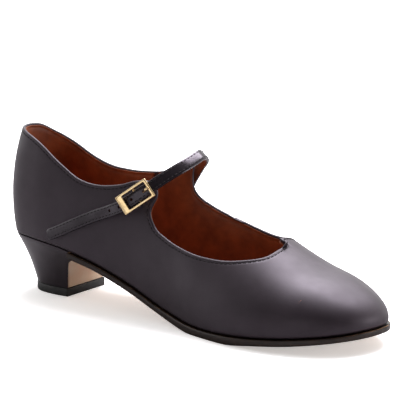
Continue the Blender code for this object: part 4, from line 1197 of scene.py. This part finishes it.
def buckle_frame():
    """Flat ring cut from a grid, pushed up to its thickness and rounded on every edge."""
    half, wide = FRAME_LONG / 2, FRAME_WIDE / 2
    xs = (-half, -half + WIDE_BAR, half - END_BAR, half)
    ys = (-wide, -wide + SIDE_BAR, wide - SIDE_BAR, wide)
    bm = bmesh.new()
    made = bmesh.ops.create_grid(bm, x_segments=3, y_segments=3, size=1)["verts"]
    for vert in made:
        i, j = round((vert.co.x + 1) * 1.5), round((vert.co.y + 1) * 1.5)
        vert.co = (xs[i], ys[j], FRAME_LOW)
    window = min(bm.faces, key=lambda f: f.calc_center_median().xy.length)
    bmesh.ops.delete(bm, geom=[window], context="FACES_ONLY")
    raised = bmesh.ops.extrude_face_region(bm, geom=list(bm.faces))["geom"]
    top = [g for g in raised if isinstance(g, bmesh.types.BMVert)]
    bmesh.ops.translate(bm, verts=top, vec=(0, 0, FRAME_THICK))
    bmesh.ops.recalc_face_normals(bm, faces=bm.faces)
    corners = [e for e in bm.edges if e.calc_face_angle(0) > 0.9 and abs(
        (e.verts[0].co - e.verts[1].co).normalized().z) > 0.9]
    round_edges(bm, corners, 0.45, 4)
    rims = [e for e in bm.edges if e.calc_face_angle(0) > 0.9]
    round_edges(bm, rims, 0.38, 3)
    ridge = block(bm, (half - 0.85, -wide + 0.4, FRAME_LOW + 0.5),
                  (half - 0.25, wide - 0.4, FRAME_LOW + FRAME_THICK + 0.35))
    round_edges(bm, edges_of(ridge), 0.22, 2)
    for side in (-1, 1):
        ends = sorted((side * (wide - SIDE_BAR + 0.1), side * (wide - 0.1)))
        lug = block(bm, (-1.4, ends[0], -1.4), (1.4, ends[1], FRAME_LOW + 0.5))
        round_edges(bm, edges_of(lug), 0.3, 2)
    settle(bm)
    obj = piece(bm, "gold_buckle_frame", GOLD, "buckle", 35)
    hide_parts("buckle_frame")
    return obj


# %% Prong
PRONG_PATH = [(2.0, -1.3), (3.8, -0.6), (5.2, 1.4), (5.8, 4.0), (6.4, 6.1), (7.4, 6.95),
              (9.3, 6.95)]
HOOK_RADIUS = 1.3


def buckle_prong():
    """A wire hooked round the bar, thinner towards its round tip."""
    turn = np.radians(np.linspace(30, 268, 9))
    hook = [(HOOK_RADIUS * np.cos(a), HOOK_RADIUS * np.sin(a)) for a in turn]
    line = curve_through(hook + PRONG_PATH)(np.linspace(0, 1, 90))
    run = unit(np.gradient(line, axis=0))
    centres = np.stack([line[:, 0], 0 * line[:, 0], line[:, 1]], axis=1)
    side = np.tile((0.0, 1.0, 0.0), (len(line), 1))
    out = np.stack([-run[:, 1], 0 * run[:, 0], run[:, 0]], axis=1)
    turn = np.linspace(0, 2 * pi, 13)[:-1]
    section = np.array([(0.62 * np.cos(a), 0.36 * np.sin(a)) for a in turn])
    bm = bmesh.new()
    tip = np.linspace(1, 0, len(line)) * 20
    size = np.sqrt(np.clip(1 - (1 - np.clip(tip, 0, 1)) ** 2, 0.02, 1))
    rings = (centres[:, None] + side[:, None] * section[None, :, :1] * size[:, None, None]
             + out[:, None] * section[None, :, 1:] * size[:, None, None])
    rings = np.concatenate([rings, rings[:, :1]], axis=1)
    made = lay_grid(bm, rings / MM + CENTRE)
    bmesh.ops.remove_doubles(bm, verts=made, dist=0.002)
    bmesh.ops.holes_fill(bm, edges=[e for e in bm.edges if e.is_boundary])
    bmesh.ops.recalc_face_normals(bm, faces=bm.faces)
    settle(bm)
    obj = piece(bm, "gold_prong", GOLD, "prong", 60)
    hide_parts("buckle_prong")
    return obj


gold_frame, gold_prong = buckle_frame(), buckle_prong()
print("buckle frame", len(gold_frame.data.polygons), "faces, prong", len(gold_prong.data.polygons))

# %% [markdown]
# ## Pieces kept from the model
# The pieces inside the shoe, and the small bar and loop under the buckle, already have their
# real shape, so they only get their finish.

# %% Finishes for the carried pieces
KEPT = {"toe_puff": FIBRE_BOARD, "heel_counter": FIBRE_BOARD, "insole_board": FIBRE_BOARD,
        "outer_interlining": COTTON, "inner_interlining": COTTON, "heel_pad": FOAM,
        "shank_steel": STEEL, "bottom_filler": CORK, "heel_block": HEEL_CORE,
        "heel_screw": STEEL, "buckle_bar": GOLD, "buckle_chape": STRAP_LEATHER}
KEPT.update({f"heel_nail_{k}": STEEL for k in range(1, 5)})
KEPT.update({f"top_piece_pin_{k}": STEEL for k in range(1, 4)})
for name, look in KEPT.items():
    kept = nodes[name]
    for spot in kept.material_slots:
        spot.material = look
print(len(KEPT), "pieces kept from the model")

# %% [markdown]
# ## The studio
# The floor is white paper. It looks white to the camera, but it sends only part of the light
# back up to the shoe, as a floor does between dark screens, so that the black leather keeps its
# depth. The surroundings are bright behind the shoe and dark on the camera's side.

# %% Stage
def paper():
    """White to the camera, grey for the light that it sends back."""
    made = finish("floor_white", (0.93, 0.925, 0.92), 0.9, specular=0.1)
    shader = made.node_tree.nodes["Principled BSDF"]
    seen = node(made, "ShaderNodeLightPath")
    mix = node(made, "ShaderNodeMix", data_type="RGBA")
    mix.inputs[6].default_value = (0.40, 0.39, 0.39, 1)
    mix.inputs[7].default_value = (0.97, 0.965, 0.96, 1)
    wire(made, seen.outputs["Is Camera Ray"], mix.inputs["Factor"])
    wire(made, mix.outputs[2], shader.inputs["Base Color"])
    lift = node(made, "ShaderNodeMapRange", To_Max=0.45)
    wire(made, seen.outputs["Is Camera Ray"], lift.inputs["Value"])
    wire(made, lift.outputs["Result"], shader.inputs["Emission Strength"])
    shader.inputs["Emission Color"].default_value = (1.0, 0.97, 0.95, 1)
    return made


def stage_floor():
    """One large square of white paper."""
    bm = bmesh.new()
    bmesh.ops.create_grid(bm, x_segments=1, y_segments=1, size=6)
    mesh = bpy.data.meshes.new("floor")
    bm.to_mesh(mesh)
    bm.free()
    floor = bpy.data.objects.new("floor", mesh)
    bpy.context.collection.objects.link(floor)
    mesh.materials.append(paper())


def soft_light(name, at, aim, size, power, colour=(1, 1, 1)):
    """A rectangular softbox pointed at a place."""
    lamp = bpy.data.lights.new(name, "AREA")
    lamp.shape = "RECTANGLE"
    lamp.size, lamp.size_y = size
    lamp.energy = power
    lamp.color = colour
    obj = bpy.data.objects.new(name, lamp)
    obj.location = at
    obj.rotation_euler = (Vector(aim) - Vector(at)).to_track_quat("-Z", "Y").to_euler()
    bpy.context.collection.objects.link(obj)


stage_floor()
soft_light("overhead_softbox", (-0.15, 0.55, 1.15), (0, 0, 0.03), (1.1, 0.75), 30,
           (0.95, 0.93, 1.0))
soft_light("front_card", (0.40, -1.75, 0.32), (0, 0, 0.06), (0.8, 0.7), 2.2)
soft_light("toe_card", (1.45, 0.45, 0.30), (0, 0, 0.03), (0.7, 0.6), 6)


def studio_world(towards, near, far):
    """White surroundings, darker in one direction, so that round shapes shade off."""
    world = bpy.data.worlds.new("studio")
    world.use_nodes = True
    place = node(world, "ShaderNodeTexCoord")
    lean = node(world, "ShaderNodeVectorMath", operation="DOT_PRODUCT")
    lean.inputs[1].default_value = towards
    fade = node(world, "ShaderNodeMapRange", From_Min=-0.4, From_Max=0.7, To_Min=far, To_Max=near,
                interpolation_type="SMOOTHSTEP")
    wire(world, place.outputs["Generated"], lean.inputs[0])
    wire(world, lean.outputs["Value"], fade.inputs["Value"])
    wire(world, fade.outputs["Result"], world.node_tree.nodes["Background"].inputs["Strength"])
    world.node_tree.nodes["Background"].inputs["Color"].default_value = (1, 1, 1, 1)
    return world


bpy.context.scene.view_settings.view_transform = "Standard"
bpy.context.scene.world = studio_world((0.59, -0.77, 0.25), 0.12, 1.6)

# %% Camera
AZIMUTH, ELEVATION = 37.57, 13.71
DISTANCE = 1.3017
LENS = 211.1
turn, rise = AZIMUTH * pi / 180, ELEVATION * pi / 180
back = Vector((np.sin(turn) * np.cos(rise), -np.cos(turn) * np.cos(rise), np.sin(rise)))
right = Vector((np.cos(turn), np.sin(turn), 0))
up = back.cross(right)
target = Vector((-0.00099, 0.00122, 0.045))
aim = target + right * 0.0052 + up * 0.0190
lens = bpy.data.cameras.new("camera")
lens.lens = LENS
lens.sensor_width = 36
camera = bpy.data.objects.new("camera", lens)
camera.location = target + back * DISTANCE
camera.rotation_euler = (aim - camera.location).to_track_quat("-Z", "Y").to_euler()
bpy.context.collection.objects.link(camera)
bpy.context.scene.camera = camera
print("camera at", [round(c, 2) for c in camera.location])
